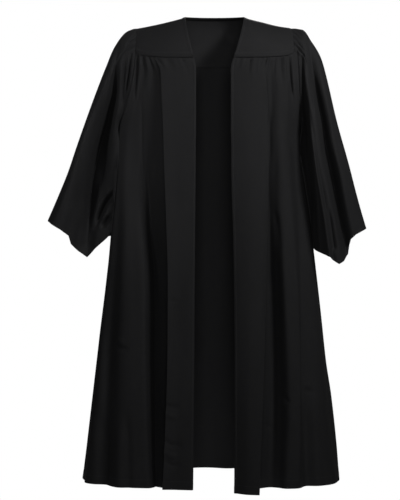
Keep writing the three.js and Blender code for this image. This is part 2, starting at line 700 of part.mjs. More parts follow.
function backSide() {
  const yoke = backYokeGrid();
  const panel = backGrid();
  const yokeInward = inwardOf(yoke, () => point(0, 0, UNDERARM), false);
  const panelInward = inwardOf(panel, bodyCentre, false);
  const end = yoke[0].length - 1;
  yoke[0].forEach((at, j) => {
    if (at.y < SEAM_GAP) yokeInward[0][j].set(0, 0, -1);
  });
  yokeInward[YOKE_ROWS].forEach((direction) => direction.setZ(0).normalize());
  [[0, -1], [end, 1]].forEach(([j, side]) => {
    yokeAngles(1).forEach((angle, i) => {
      yokeInward[i][j] = armholeInward(side, angle, 1);
    });
    panelInward.forEach((row) => {
      row[j] = point(-side, 0, 0);
    });
    bodyAngles(1).forEach((angle, i) => {
      panelInward[i][j] = armholeInward(side, angle, 1);
    });
  });
  panelInward[0] = yokeInward[YOKE_ROWS].map((direction) => direction.clone());
  add("yoke_back", wall(yoke, yokeInward, WALL), CLOTH.color, CLOTH.roughness);
  add("back", wall(panel, panelInward, WALL), CLOTH.color, CLOTH.roughness);

  // The neck band lies inside the back yoke, under its neck edge.
  const under = yoke[0].map((at, j) => j).filter((j) => yoke[0][j].y > SEAM_GAP);
  const band = [0, 1].map((i) =>
    under.map((j) => yoke[i][j].clone().addScaledVector(yokeInward[i][j], WALL + TAPE_LIFT)),
  );
  const bandInward = [0, 1].map((i) => under.map((j) => yokeInward[i][j]));
  add("neck_band", wall(band, bandInward, TAPE_WALL), TAPE.color, TAPE.roughness);
}

function sleeve(shape, folds) {
  const grid = sleeveGrid(shape, folds);
  const middle = grid.map((row) =>
    row.reduce((sum, at) => sum.add(at), point(0, 0, 0)).divideScalar(row.length),
  );
  const nearest = (at) => {
    const gaps = middle.map((centre) => centre.distanceTo(at));
    return middle[gaps.indexOf(Math.min(...gaps))].clone();
  };
  const inward = inwardOf(grid, nearest, true);
  inward[0] = armholeRing.map(({ angle, facing }) => armholeInward(shape.side, angle, facing));
  add(`sleeve_${sideName(shape.side)}`, wall(grid, inward, WALL, true), CLOTH.color, CLOTH.roughness);
}

frontSide(-1);
frontSide(1);
backSide();
sleeve(RIGHT_SLEEVE, RIGHT_SLEEVE_FOLDS);
sleeve(LEFT_SLEEVE, LEFT_SLEEVE_FOLDS);

export default robe;
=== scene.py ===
"""The looks of a choir robe: an open-front gown of black cloth, filled out as if worn.

The robe is sewn from two front yokes, a back yoke, two fronts, a back and two sleeves, with a
turned strip along the neck and front edges. Each piece is a thin shell laid where its CAD solid is.

Lengths in the tables are millimetres in the robe's own frame: x to the wearer's left, y to the
back, z up from the high points of the shoulders. Meshes are made in metres.
"""
import logging
import math
from dataclasses import dataclass, replace
from enum import Enum
from typing import Iterable, Sequence

import bpy
import numpy as np
from bpy.types import ID, Material, Mesh, Node, NodeSocket, NodeTree, Object
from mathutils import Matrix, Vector


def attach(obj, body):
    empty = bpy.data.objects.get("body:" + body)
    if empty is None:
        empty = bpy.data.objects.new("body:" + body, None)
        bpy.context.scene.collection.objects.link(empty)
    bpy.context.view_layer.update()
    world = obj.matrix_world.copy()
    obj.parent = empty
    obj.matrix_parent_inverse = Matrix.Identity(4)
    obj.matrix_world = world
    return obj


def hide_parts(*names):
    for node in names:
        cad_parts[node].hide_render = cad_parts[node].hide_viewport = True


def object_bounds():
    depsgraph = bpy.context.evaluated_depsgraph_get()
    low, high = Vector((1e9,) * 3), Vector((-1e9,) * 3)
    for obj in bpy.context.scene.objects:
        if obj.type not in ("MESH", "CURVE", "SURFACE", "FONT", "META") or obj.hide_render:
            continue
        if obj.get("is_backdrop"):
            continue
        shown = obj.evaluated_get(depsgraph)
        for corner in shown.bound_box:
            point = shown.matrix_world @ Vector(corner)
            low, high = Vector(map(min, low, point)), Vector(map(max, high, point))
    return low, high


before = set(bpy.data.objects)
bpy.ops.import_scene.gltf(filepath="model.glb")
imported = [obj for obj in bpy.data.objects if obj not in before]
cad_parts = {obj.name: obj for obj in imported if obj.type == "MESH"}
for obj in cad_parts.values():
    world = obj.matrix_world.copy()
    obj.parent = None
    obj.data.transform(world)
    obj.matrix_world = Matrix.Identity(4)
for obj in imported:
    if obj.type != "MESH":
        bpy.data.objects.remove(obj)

logging.basicConfig(level=logging.INFO, format="%(message)s")
log = logging.getLogger("choir_robe")

Array = np.ndarray
Point = tuple[float, float]
Place = tuple[float, float, float]
MM = 0.001
TINY = 1e-9  # keeps a division away from nothing
RIGHT_ANGLE = math.pi / 2
BODY_NAME = "root"
UV_SPAN = 2.0  # metres of cloth to one unit of the flat coordinates
UV_START = (0.1, 0.02)
SHARP_ANGLE = 60  # degrees; a sharper edge is shaded as an edge
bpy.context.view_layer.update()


class Side(Enum):
    """The wearer's side of the robe; the value is the sign of x."""

    RIGHT = -1
    LEFT = 1

    def __str__(self) -> str:
        """The side's name, as the pieces' names have it."""
        return self.name.lower()


# ---------------- curves


def mix(a: Array | float, b: Array | float, t: Array | float) -> Array | float:
    """A value from a to b as t runs from 0 to 1."""
    return a + (b - a) * t


def smooth(t: Array | float) -> Array:
    """A soft step from 0 to 1 as t runs from 0 to 1."""
    t = np.clip(t, 0, 1)
    return t * t * (3 - 2 * t)


def bump(t: Array | float) -> Array:
    """A soft hump: 1 at 0, and nothing from -1 outwards and 1 outwards."""
    return np.cos(np.clip(t, -1, 1) * RIGHT_ANGLE) ** 2


def valley(t: Array) -> Array:
    """A fold's narrow hollow: 1 at 0, falling away steeply to nothing from -1 and 1 outwards."""
    roundness, rest, power = 0.006, 0.03, 1.7
    return (1 - np.clip(np.sqrt(np.square(t) + roundness) - rest, 0, 1)) ** power


def fold(height: float, t: Array) -> Array:
    """A ridge, or a hollow where its height is below 0, that is gone by -1 and 1."""
    return height * (valley if height < 0 else bump)(t)


def unit(vectors: Array) -> Array:
    """The same directions with a length of 1."""
    return vectors / np.maximum(np.linalg.norm(vectors, axis=-1, keepdims=True), TINY)


def lengths_along(points: Array) -> Array:
    """Each point's distance from the first, along the line that they make."""
    return np.concatenate([[0], np.cumsum(np.linalg.norm(np.diff(points, axis=0), axis=-1))])


def tangents(values: Array, spans: Array) -> Array:
    """Slopes at each value that let a curve pass through without swinging past it.

    Args:
        values: The values, along the first axis.
        spans: The distance from each value to the next.

    Returns:
        One slope for each value.
    """
    slope = np.diff(values, axis=0) / spans.reshape(-1, *[1] * (values.ndim - 1))
    product = slope[:-1] * slope[1:]
    total = slope[:-1] + slope[1:]
    inner = np.where(product > 0, 2 * product / np.where(product > 0, total, 1), 0)
    return np.concatenate([slope[:1], inner, slope[-1:]])


def eased(a: Array, b: Array, leaving: Array, arriving: Array, t: Array | float) -> Array:
    """A cubic from one value to another.

    Args:
        a: Its value where t is 0.
        b: Its value where t is 1.
        leaving: Its slope where t is 0.
        arriving: Its slope where t is 1.
        t: The places wanted.

    Returns:
        The values there.
    """
    s = 1 - t
    rising = a * (1 + 2 * t) * s * s + leaving * t * s * s
    return rising + b * (3 - 2 * t) * t * t - arriving * t * t * s


def through(places: Sequence[float], values: Sequence[float], at: Array | float) -> Array:
    """A smooth curve through values given at rising places.

    Args:
        places: Where the values are given.
        values: The values.
        at: Where the curve is wanted; beyond the ends it keeps the end values.

    Returns:
        The curve's values there.
    """
    x = np.asarray(places, float)
    v = np.asarray(values, float)
    slope = tangents(v, np.diff(x))
    at = np.clip(np.asarray(at, float), x[0], x[-1])
    i = np.clip(np.searchsorted(x, at, side="right") - 1, 0, len(x) - 2)
    span = x[i + 1] - x[i]
    return eased(v[i], v[i + 1], slope[i] * span, slope[i + 1] * span, (at - x[i]) / span)


def by_height(heights: Sequence[float], values: Sequence[float], z: Array | float) -> Array:
    """A smooth curve through values given at falling heights."""
    return through([-height for height in heights], values, -np.asarray(z, float))


def between_lines(stack: Array, place: float) -> Array:
    """Values between the lines of a stack.

    Args:
        stack: The lines, along the first axis.
        place: The place wanted, counted in lines.

    Returns:
        The values there.
    """
    slope = tangents(stack, np.ones(len(stack) - 1))
    i = int(min(place, len(stack) - 2))
    return eased(stack[i], stack[i + 1], slope[i], slope[i + 1], place - i)


def curve(points: Sequence[Point], share: Array) -> Array:
    """A smooth curve through points.

    Args:
        points: The points.
        share: The places wanted, as shares of its length.

    Returns:
        The points there.
    """
    knots = np.asarray(points, float)
    steps = lengths_along(knots)
    return np.stack([through(steps / steps[-1], knots[:, k], share) for k in (0, 1)], -1)


def soft_noise(seed: int, u: Array, v: Array, cell: Point) -> Array:
    """Smooth, seeded unevenness over a surface.

    Args:
        seed: Picks the pattern.
        u: Distance across the surface.
        v: Distance down it.
        cell: Size of one patch of the unevenness, across and down.

    Returns:
        Values from -1 to 1.
    """
    size = 61
    table = np.random.default_rng(seed).uniform(-1, 1, (size, size))
    a, b = u / cell[0] + 0.21 * v / cell[1], v / cell[1] - 0.17 * u / cell[0]  # slanted a little
    i, j = np.floor(a).astype(int), np.floor(b).astype(int)
    s, t = smooth(a - i), smooth(b - j)
    here, over = i % size, (i + 1) % size
    rows = [mix(table[here, (j + k) % size], table[over, (j + k) % size], s) for k in (0, 1)]
    return mix(rows[0], rows[1], t)


@dataclass(frozen=True)
class Unevenness:
    """Soft unevenness of a piece of cloth."""

    height: float
    patch: Point  # size of one patch of it, across and down

    def over(self, seed: int, across: Array, down: Array) -> Array:
        """How far it lifts the cloth at each point."""
        return self.height * soft_noise(seed, across, down, self.patch)


# ---------------- the body's plan

# Distances from the middle, and depths, at each height. An edge is the front opening's edge, a side
# is the side seam, and seam_y is how far back the side seam lies.
PLAN_COLUMNS = (
    "z", "right_edge", "left_edge", "right_side", "left_side", "front", "back", "seam_y",
)
PLAN_ROWS = (
    (-134, 61, 55, 276, 272, -116, 116, 0),
    (-168, 55, 47, 280, 272, -120, 119, 0),
    (-345, 55, 47, 290, 257, -132, 124, 0),
    (-400, 56, 48, 294, 260, -134, 126, 1),
    (-450, 56, 48, 298, 266, -136, 128, 2),
    (-550, 57, 50, 302, 281, -140, 135, 4),
    (-690, 58, 54, 313, 297, -146, 150, 8),
    (-1000, 60, 57, 350, 332, -158, 190, 14),
    (-1388, 63, 56, 396, 376, -172, 240, 20),
)
PLAN = dict(zip(PLAN_COLUMNS, zip(*PLAN_ROWS)))
LEVELS = (-134, -180, -345, -550, -800, -1100, -1388)


def plan_size(name: str, z: Array) -> Array:
    """One of the plan's columns at any height."""
    return by_height(PLAN["z"], PLAN[name], z)


@dataclass(frozen=True)
class BodyCut:
    """The sizes that the robe's pieces share, and the seams that they meet at."""

    neck_half: float = 89
    nape_y: float = 70
    nape_z: float = 10
    shoulder_x: float = 232
    shoulder_z: float = -34
    armhole_centre: float = -189.5
    armhole_height: float = 155.5
    armhole_depth: float = 85
    armhole_reach: Point = (58, 25)  # how far out the underarm lies from the tip: right, left
    armhole_power: Point = (2.4, 1.3)
    seam_neck: float = -134
    seam_front: float = -109
    seam_back: float = -112
    seam_middle: float = -138
    seam_bow: float = 2.2
    shoulder_bow: float = 0.72
    neck_bow: float = 2.2
    plan_power: float = 0.8
    crowd_share: float = 0.9  # how the cloth's columns crowd together where the armhole cuts them
    crowd_range: Point = (2, 12)
    side_rise: float = 6  # how much higher the hem is at the side seams

    @property
    def underarm(self) -> float:
        """Height of the underarm."""
        return self.armhole_centre - self.armhole_height

    @property
    def hem(self) -> float:
        """Height of the hem at the middle."""
        return PLAN["z"][-1]

    def armhole_angle(self, z: Array | float) -> Array:
        """The angle round the armhole at a height, 0 at the top."""
        return np.arccos(np.clip((z - self.armhole_centre) / self.armhole_height, -1, 1))

    def armhole(self, sign: Array | float, angle: Array, facing: Array | float) -> Array:
        """Points of the armhole's seam.

        Args:
            sign: The side, -1 or 1.
            angle: The angle from the armhole's top, in radians.
            facing: -1 along the front and 1 along the back.

        Returns:
            The points, with x, y and z along the last axis.
        """
        reach = np.where(np.asarray(sign) < 0, *self.armhole_reach)
        power = np.where(np.asarray(sign) < 0, *self.armhole_power)
        x = self.shoulder_x + reach * ((1 - np.cos(angle)) / 2) ** power
        y = facing * self.armhole_depth * np.sin(angle)
        z = self.armhole_centre + self.armhole_height * np.cos(angle)
        return np.stack(np.broadcast_arrays(sign * x, y, z), -1)

    def plan(self, sign: Array, facing: float, z: Array, across: Array) -> Array:
        """Points of the body's plan. Above the underarm the armhole cuts the plan off.

        Args:
            sign: The side, -1 or 1.
            facing: -1 for the front and 1 for the back.
            z: The height.
            across: 0 at the middle or the opening, 1 at the side.

        Returns:
            The points.
        """
        right = np.asarray(sign) < 0
        inner_x = 0.0
        if facing < 0:
            inner_x = np.where(right, plan_size("right_edge", z), plan_size("left_edge", z))
        inner_y = plan_size("front" if facing < 0 else "back", z)
        seam_y = plan_size("seam_y", z)
        side = np.where(right, plan_size("right_side", z), plan_size("left_side", z))
        rim = self.armhole(sign, self.armhole_angle(z), facing)
        share = np.clip((rim[..., 1] - seam_y) / (inner_y - seam_y), 0, 1)
        cut = np.where(z > self.underarm, np.arccos(share ** (1 / self.plan_power)), RIGHT_ANGLE)
        lost = 1 - cut / RIGHT_ANGLE
        rim_x = inner_x + (np.abs(rim[..., 0]) - inner_x) / np.sin(cut)
        outer_x = np.where(z > self.underarm, rim_x, side)
        crowd = np.clip(self.crowd_share / np.maximum(lost, TINY), *self.crowd_range)
        turn = (across - lost * across**crowd) * RIGHT_ANGLE
        x = mix(inner_x, outer_x, np.sin(turn))
        y = mix(seam_y, inner_y, np.maximum(np.cos(turn), 0) ** self.plan_power)
        return np.stack(np.broadcast_arrays(sign * x, y, z), -1)

    def cloth(self, sign: Array, facing: float, z: Array, across: Array, out: Array) -> Array:
        """Points that stand out of the plan.

        Args:
            sign: The side, -1 or 1.
            facing: -1 for the front and 1 for the back.
            z: The height.
            across: 0 at the middle or the opening, 1 at the side.
            out: How far out they stand, square to the plan.

        Returns:
            The points.
        """
        step = 0.004
        before = self.plan(sign, facing, z, np.maximum(across - step, 0))
        after = self.plan(sign, facing, z, np.minimum(across + step, 1))
        along = unit(after - before)
        turn = np.asarray(sign) * facing
        square = np.stack([-along[..., 1] * turn, along[..., 0] * turn, np.zeros_like(z)], -1)
        return self.plan(sign, facing, z, across) + square * np.asarray(out)[..., None]

    def front_seam(self, sign: float, across: Array) -> Array:
        """The seam between a front yoke and a front, from the neck to the armhole."""
        z = mix(self.seam_neck, self.seam_front, across**self.seam_bow)
        return self.plan(sign, -1, z, across)

    def back_seam(self, across: Array) -> Array:
        """The seam between the back yoke and the back, from -1 at the right to 1 at the left."""
        z = mix(self.seam_middle, self.seam_back, np.abs(across) ** self.seam_bow)
        return self.plan(np.where(across < 0, -1, 1), 1, z, np.abs(across))

    def shoulder_line(self, sign: Array | float, u: Array) -> Array:
        """The shoulder seam, from the neck at 0 to the shoulder tip at 1."""
        x = sign * mix(self.neck_half, self.shoulder_x, u)
        return np.stack(np.broadcast_arrays(x, 0.0, self.shoulder_z * u**self.shoulder_bow), -1)


CUT = BodyCut()


# ---------------- cloth as a grid

PATH_DETAIL = 4  # straight runs for each point that a crease's path is given
PATH_FADE = 0.35  # share of its path over which a crease rises to its whole height
SLOT_WALL = 0.5  # share of a slot's half width that its steep side takes
GATHER_WIDENING = 0.6  # a gather is this much wider where it dies out
GATHER_START = 0.35  # share of its height at the seam itself
GATHER_RISE = 12  # how far below the seam it has its whole height


@dataclass(frozen=True)
class Crease:
    """A soft ridge or trough along a path drawn on the robe as seen from in front."""

    path: tuple[Point, ...]
    width: float
    height: float
    start: float = 0.0  # share of the height at the path's first point
    end: float = 0.0
    lean: float = 0.0  # above 0 the left side, looking along the path, is the steeper one
    slot: bool = False  # a deep fold with steep sides and a flat bottom

    def beside(self, x: Array, z: Array) -> tuple[Array, Array]:
        """Finds the nearest place on the path to each point.

        Args:
            x: The points' x.
            z: Their height.

        Returns:
            How far each lies to the left of the path, and its share of the way along it.
        """
        share = np.linspace(0, 1, PATH_DETAIL * len(self.path))
        line = curve(self.path, share)
        nearest = np.full(x.shape, np.inf)
        offset, along = np.zeros(x.shape), np.zeros(x.shape)
        for i in range(len(line) - 1):
            run = line[i + 1] - line[i]
            length = max(float(np.hypot(*run)), 1e-6)
            dx, dz = x - line[i, 0], z - line[i, 1]
            t = np.clip((dx * run[0] + dz * run[1]) / length**2, 0, 1)
            gap = np.hypot(dx - t * run[0], dz - t * run[1])
            closer = gap < nearest
            left = np.sign(run[0] * dz - run[1] * dx)
            nearest = np.where(closer, gap, nearest)
            offset = np.where(closer, gap * np.where(left == 0, 1, left), offset)
            along = np.where(closer, mix(share[i], share[i + 1], t), along)
        return offset, along

    def heights(self, x: Array, z: Array) -> Array:
        """How far the crease lifts the cloth.

        Args:
            x: The points' x.
            z: Their height.

        Returns:
            The lift at each point, below 0 in a trough.
        """
        offset, along = self.beside(x, z)
        half = self.width * np.where(offset > 0, 1 - self.lean, 1 + self.lean)
        start = mix(self.start, 1, smooth(along / PATH_FADE))
        ends = start * mix(self.end, 1, smooth((1 - along) / PATH_FADE))
        if self.slot:
            return self.height * smooth((1 - np.abs(offset / half)) / SLOT_WALL) * ends
        return fold(self.height, offset / half) * ends


@dataclass(frozen=True)
class Gather:
    """A small pleat that starts at a seam and dies out down the cloth."""

    place: float  # distance along the seam
    width: float
    height: float
    length: float
    drift: float = 0.0  # how far it wanders sideways for each millimetre down

    def heights(self, seam: Array, down: Array) -> Array:
        """How far the pleat lifts the cloth.

        Args:
            seam: The points' distance along the seam.
            down: Their distance down from it.

        Returns:
            The lift at each point.
        """
        width = self.width * (1 + GATHER_WIDENING * down / self.length)
        rise = mix(GATHER_START, 1, smooth(down / GATHER_RISE))
        fade = 1 - smooth(down / self.length)
        return fold(self.height, (seam - self.place - self.drift * down) / width) * rise * fade


def by_hand(*rows: Sequence[float]) -> tuple[Gather, ...]:
    """Gathers listed one by one, from rows of their sizes."""
    return tuple(Gather(*row) for row in rows)


@dataclass(frozen=True)
class GatherRow:
    """An uneven row of gathers along a seam."""

    spacing: float  # the usual distance from one gather to the next
    height: float  # the usual height
    length: Point  # the shortest and the longest

    def along(self, seed: int, span: Point) -> list[Gather]:
        """Draws the row.

        Args:
            seed: Picks the row.
            span: Where it starts and ends along the seam.

        Returns:
            The gathers.
        """
        rng = np.random.default_rng(seed)
        row, place = [], span[0] + self.spacing * rng.uniform(0.3, 0.9)
        while place < span[1]:
            tall = self.height * rng.uniform(0.35, 1.25) * (1 if rng.random() < 0.6 else -0.8)
            long = mix(self.length[0], self.length[1], rng.random() ** 2)
            wide, drift = self.spacing * rng.uniform(0.42, 0.8), rng.uniform(-0.06, 0.06)
            row.append(Gather(place, wide, tall, long, drift))
            place += self.spacing * rng.uniform(0.6, 1.45)
        return row


def new_object(name: str, data: ID) -> Object:
    """Puts something into the scene as a new object.

    Args:
        name: The object's name.
        data: Its mesh, light or camera.

    Returns:
        The object.
    """
    made = bpy.data.objects.new(name, data)
    bpy.context.scene.collection.objects.link(made)
    return made


class Cloth:
    """A piece of cloth as a grid of points, with rows down it and columns across it."""

    def __init__(self, points: Array, closed: bool = False) -> None:
        """Takes the cloth and finds which way is outwards.

        Args:
            points: The points of its outer face, in rows.
            closed: True to join the last column to the first.
        """
        self.points = np.array(points, float)
        self.closed = closed
        self.outward = 1.0
        middle = self.points.mean(axis=1, keepdims=True) if closed else self.points * (0, 0, 1)
        if not closed:
            middle[..., 2] = np.minimum(middle[..., 2], CUT.underarm / 2)
        if (self.normals() * (self.points - middle)).sum() < 0:
            self.outward = -1.0

    def normals(self) -> Array:
        """Directions square to the cloth, outwards."""
        down = np.gradient(self.points, axis=0)
        if self.closed:
            over = np.roll(self.points, -1, axis=1) - np.roll(self.points, 1, axis=1)
        else:
            over = np.gradient(self.points, axis=1)
        return self.outward * unit(np.cross(down, over))

    def down(self) -> Array:
        """Each point's distance from the first row, along the cloth."""
        steps = np.linalg.norm(np.diff(self.points, axis=0), axis=-1)
        return np.concatenate([np.zeros((1, steps.shape[1])), np.cumsum(steps, axis=0)])

    def up(self) -> Array:
        """Each point's distance from the last row."""
        down = self.down()
        return down[-1:] - down

    def across(self) -> Array:
        """Each point's distance from the first column."""
        steps = np.linalg.norm(np.diff(self.points, axis=1), axis=-1)
        return np.concatenate([np.zeros((steps.shape[0], 1)), np.cumsum(steps, axis=1)], axis=1)

    def lift(self, height: Array) -> None:
        """Moves the points outwards."""
        self.points += self.normals() * height[..., None]

    def crease(self, creases: Iterable[Crease], share: Array, facing: float = 0.0) -> None:
        """Presses creases into the cloth.

        Args:
            creases: The creases.
            share: How much of them each point takes.
            facing: -1 or 1 to press them straight in from the front or the back, 0 to press
                square to the cloth.
        """
        x, z = self.points[..., 0], self.points[..., 2]
        height = sum((crease.heights(x, z) for crease in creases), np.zeros(x.shape)) * share
        if facing:
            self.points[..., 1] += facing * height
        else:
            self.lift(height)

    def gather(self, gathers: Iterable[Gather], seam: Array) -> None:
        """Draws the cloth into gathers along its first row.

        Args:
            gathers: The gathers.
            seam: Each column's distance along that row's seam.
        """
        down = self.down()
        heights = (gather.heights(seam[None, :], down) for gather in gathers)
        self.lift(sum(heights, np.zeros(down.shape)))

    def relax(self, share: Array, times: int) -> None:
        """Evens the cloth out, with its edges held.

        Args:
            share: How much each point takes part, from 0 to 1.
            times: How many times it is done.
        """
        held = share[1:-1, 1:-1, None] * 0.5
        for _ in range(times):
            p = self.points
            mean = (p[:-2, 1:-1] + p[2:, 1:-1] + p[1:-1, :-2] + p[1:-1, 2:]) / 4
            self.points[1:-1, 1:-1] += (mean - p[1:-1, 1:-1]) * held

    def longer(self, allowance: float) -> "Cloth":
        """The same cloth with a row more, pressed in under the piece that it is sewn to.

        Args:
            allowance: How far the new row lies past the first.

        Returns:
            The longer cloth.
        """
        past = unit(self.points[0] - self.points[1])
        row = self.points[0] + past * allowance - self.normals()[0] * SEWING.tucked_in
        cloth = Cloth(np.concatenate([row[None], self.points]), self.closed)
        cloth.outward = self.outward
        return cloth

    def _faces(self) -> Array:
        """The shell's faces: the outer side, the inner side and the rims between them.

        Returns:
            Four corners for each face, and for each corner its vertex, its row and its column. The
            column isn't wrapped round where the cloth is closed.
        """
        rows, columns = self.points.shape[:2]
        spans = columns if self.closed else columns - 1

        def corner(row: Array, column: Array, side: int) -> Array:
            """A corner's vertex, row and column."""
            vertex = side * rows * columns + row * columns + column % columns
            return np.stack([vertex, row, column], -1)

        i, j = (k.ravel() for k in np.indices((rows - 1, spans)))
        outer = [corner(i, j, 0), corner(i + 1, j, 0), corner(i + 1, j + 1, 0), corner(i, j + 1, 0)]
        inner = [corner(i, j, 1), corner(i, j + 1, 1), corner(i + 1, j + 1, 1), corner(i + 1, j, 1)]
        quads = [np.stack(outer, 1), np.stack(inner, 1)]
        k = np.arange(spans)
        for row, flip in ((0, False), (rows - 1, True)):
            r = np.full(spans, row)
            rim = [corner(r, k, 0), corner(r, k + 1, 0), corner(r, k + 1, 1), corner(r, k, 1)]
            quads.append(np.stack(rim[::-1] if flip else rim, 1))
        if not self.closed:
            k = np.arange(rows - 1)
            for column, flip in ((0, True), (columns - 1, False)):
                c = np.full(rows - 1, column)
                rim = [corner(k, c, 0), corner(k + 1, c, 0), corner(k + 1, c, 1), corner(k, c, 1)]
                quads.append(np.stack(rim[::-1] if flip else rim, 1))
        faces = np.concatenate(quads)
        return faces[:, ::-1] if self.outward < 0 else faces

    def wall(
        self, name: str, thickness: Array | float, press: Array | float, allowance: float = 0.0
    ) -> Object:
        """Makes the closed shell between the outer face and the same face moved inwards.

        Args:
            name: The piece's name.
            thickness: How thick the cloth is at each point.
            press: How pressed each point is, 0 to 1; the material paints a sheen there and smooths it.
            allowance: How far the cloth runs on under the piece above it.

        Returns:
            The new object, in metres.
        """
        thickness = np.broadcast_to(thickness, self.points.shape[:2])
        press = np.broadcast_to(press, self.points.shape[:2])
        if allowance:
            thickness, press = (np.concatenate([grid[:1], grid]) for grid in (thickness, press))
            return self.longer(allowance).wall(name, thickness, press)
        inner = self.points - self.normals() * thickness[..., None]
        vertices = np.concatenate([self.points.reshape(-1, 3), inner.reshape(-1, 3)]) * MM
        faces = self._faces()
        mesh = bpy.data.meshes.new(name)
        mesh.from_pydata(vertices.tolist(), [], faces[..., 0].tolist())
        mesh.polygons.foreach_set("use_smooth", np.ones(len(faces), bool))
        mesh.set_sharp_from_angle(angle=math.radians(SHARP_ANGLE))
        self._lay_uv(mesh, faces)
        # The inner face is marked for the material, which paints it lighter: partly the wrong side's own
        # tone, partly painted light on the shaded inside.
        reverse = np.repeat([0.0, 1.0], press.size)
        for label, values in (("press", np.tile(press.ravel(), 2)), ("reverse", reverse)):
            mesh.attributes.new(label, "FLOAT", "POINT").data.foreach_set("value", values)
        return new_object(name, mesh)

    def _lay_uv(self, mesh: Mesh, faces: Array) -> None:
        """Lays the cloth's own flat coordinates on its mesh, in units of UV_SPAN metres.

        Args:
            mesh: The mesh.
            faces: Its faces, as _faces gives them.
        """
        across, down = self.across(), self.down()
        if self.closed:
            last = np.linalg.norm(self.points[:, 0] - self.points[:, -1], axis=-1)
            across = np.concatenate([across, across[:, -1:] + last[:, None]], axis=1)
            down = np.concatenate([down, down[:, :1]], axis=1)
        middle = across.shape[1] // 2
        across = across - across[:, middle : middle + 1] + across[0, middle]
        row, column = faces[..., 1].ravel(), faces[..., 2].ravel()
        uv = np.stack([across[row, column], down[row, column]], -1) * MM / UV_SPAN + UV_START
        layer = mesh.uv_layers.new(name="cloth")
        layer.uv.foreach_set("vector", uv.astype(np.float32).ravel())


# ---------------- lines down the fronts


@dataclass(frozen=True)
class Line:
    """A line down a front, given at LEVELS.

    It says how far across the front the line lies and how far it stands out of the plan.
    """

    name: str
    across: tuple[float, ...]
    out: tuple[float, ...]


RIGHT_LINES = (
    Line("edge", (0, 0, 0, 0, 0, 0, 0), (0, 0, 0, 0, 0, 0, 0)),
    Line("strip", (0.0222, 0.0212, 0.02, 0.0195, 0.0175, 0.0155, 0.0144), (0, 0, 1, 1, 2, 2, 3)),
    Line("band", (0.21, 0.175, 0.145, 0.125, 0.105, 0.095, 0.095), (0, 1, 1, 0, 0, 0, 0)),
    Line("pleat front", (0.365, 0.292, 0.24, 0.206, 0.169, 0.149, 0.15), (0, 3, 4, 4, 3, 3, 3)),
    Line("pleat edge", (0.4, 0.32, 0.265, 0.229, 0.188, 0.169, 0.17), (0, 4, 6, 6, 5, 5, 5)),
    Line("pleat back", (0.415, 0.322, 0.255, 0.217, 0.175, 0.155, 0.155), (0, 0, -6, -11, -16, -16, -12)),
    Line("trough foot", (0.435, 0.345, 0.278, 0.241, 0.2, 0.178, 0.172), (0, -4, -20, -28, -35, -37, -24)),
    Line("trough", (0.49, 0.42, 0.405, 0.43, 0.352, 0.29, 0.224), (0, -6, -24, -55, -71, -73, -40)),
    Line("rise", (0.55, 0.5, 0.48, 0.468, 0.365, 0.301, 0.235), (0, -7, -22, -46, -42, -40, -22)),
    Line("lip", (0.6, 0.56, 0.56, 0.525, 0.385, 0.316, 0.25), (0, -6, -19, -32, -16, -12, -7)),
    Line("panel", (0.66, 0.64, 0.64, 0.6, 0.46, 0.38, 0.31), (0, -6, -15, -20, -7, -4, 0)),
    Line("ridge", (0.73, 0.71, 0.71, 0.675, 0.575, 0.492, 0.45), (0, -4, -9, -8, 4, 6, 9)),
    Line("hollow", (0.8, 0.79, 0.81, 0.75, 0.69, 0.63, 0.59), (0, -2, -5, -3, -3, -6, -8)),
    Line("side ridge", (0.88, 0.88, 0.88, 0.84, 0.8, 0.76, 0.74), (0, 1, 3, 5, 8, 11, 12)),
    Line("side hollow", (0.945, 0.945, 0.95, 0.93, 0.91, 0.9, 0.88), (0, 0, 0, 0, 0, -2, -3)),
    Line("side", (1, 1, 1, 1, 1, 1, 1), (0, 0, 0, 0, 0, 0, 0)),
)
LEFT_LINES = (
    Line("edge", (0, 0, 0, 0, 0, 0, 0), (0, 0, 0, 0, 0, 0, 0)),
    Line("strip", (0.022, 0.0213, 0.0222, 0.0205, 0.0185, 0.0165, 0.015), (0, 0, 1, 2, 3, 4, 5)),
    Line("band", (0.19, 0.18, 0.17, 0.15, 0.12, 0.088, 0.068), (0, 3, 8, 13, 18, 22, 28)),
    Line("pleat front", (0.29, 0.268, 0.31, 0.262, 0.205, 0.154, 0.114), (0, 4, 10, 17, 23, 30, 37)),
    Line("pleat edge", (0.315, 0.293, 0.335, 0.287, 0.2265, 0.175, 0.133), (0, 4, 12, 20, 26, 33, 40)),
    Line("pleat back", (0.33, 0.308, 0.333, 0.277, 0.215, 0.162, 0.119), (0, 1, 2, 3, 3, 5, 11)),
    Line("trough foot", (0.35, 0.328, 0.356, 0.3, 0.238, 0.187, 0.143), (0, -3, -11, -26, -38, -34, -14)),
    Line("trough", (0.38, 0.358, 0.374, 0.332, 0.322, 0.284, 0.22), (0, -4, -10, -26, -52, -54, -34)),
    Line("rise", (0.42, 0.403, 0.413, 0.369, 0.358, 0.325, 0.27), (0, -1, -3, -14, -28, -32, -20)),
    Line("lip", (0.46, 0.438, 0.47, 0.42, 0.395, 0.376, 0.31), (0, 2, 3, 3, 3, 3, 4)),
    Line("ridge", (0.56, 0.56, 0.55, 0.51, 0.5, 0.45, 0.38), (0, 4, 8, 10, 10, 11, 11)),
    Line("hollow", (0.66, 0.66, 0.68, 0.64, 0.57, 0.49, 0.47), (0, 0, -1, -1, -3, -8, -10)),
    Line("side ridge", (0.79, 0.79, 0.81, 0.78, 0.74, 0.68, 0.65), (0, 1, 5, 6, 8, 9, 11)),
    Line("side hollow", (0.91, 0.91, 0.92, 0.9, 0.88, 0.85, 0.83), (0, 0, 0, 0, -1, -2, -3)),
    Line("side", (1, 1, 1, 1, 1, 1, 1), (0, 0, 0, 0, 0, 0, 0)),
)
PLEAT_EDGE = [line.name for line in RIGHT_LINES].index("pleat edge")  # the same on both sides
MIDDLE_HEIGHT = -700.0  # columns are spaced evenly at this height
PLACE_SAMPLES = 900
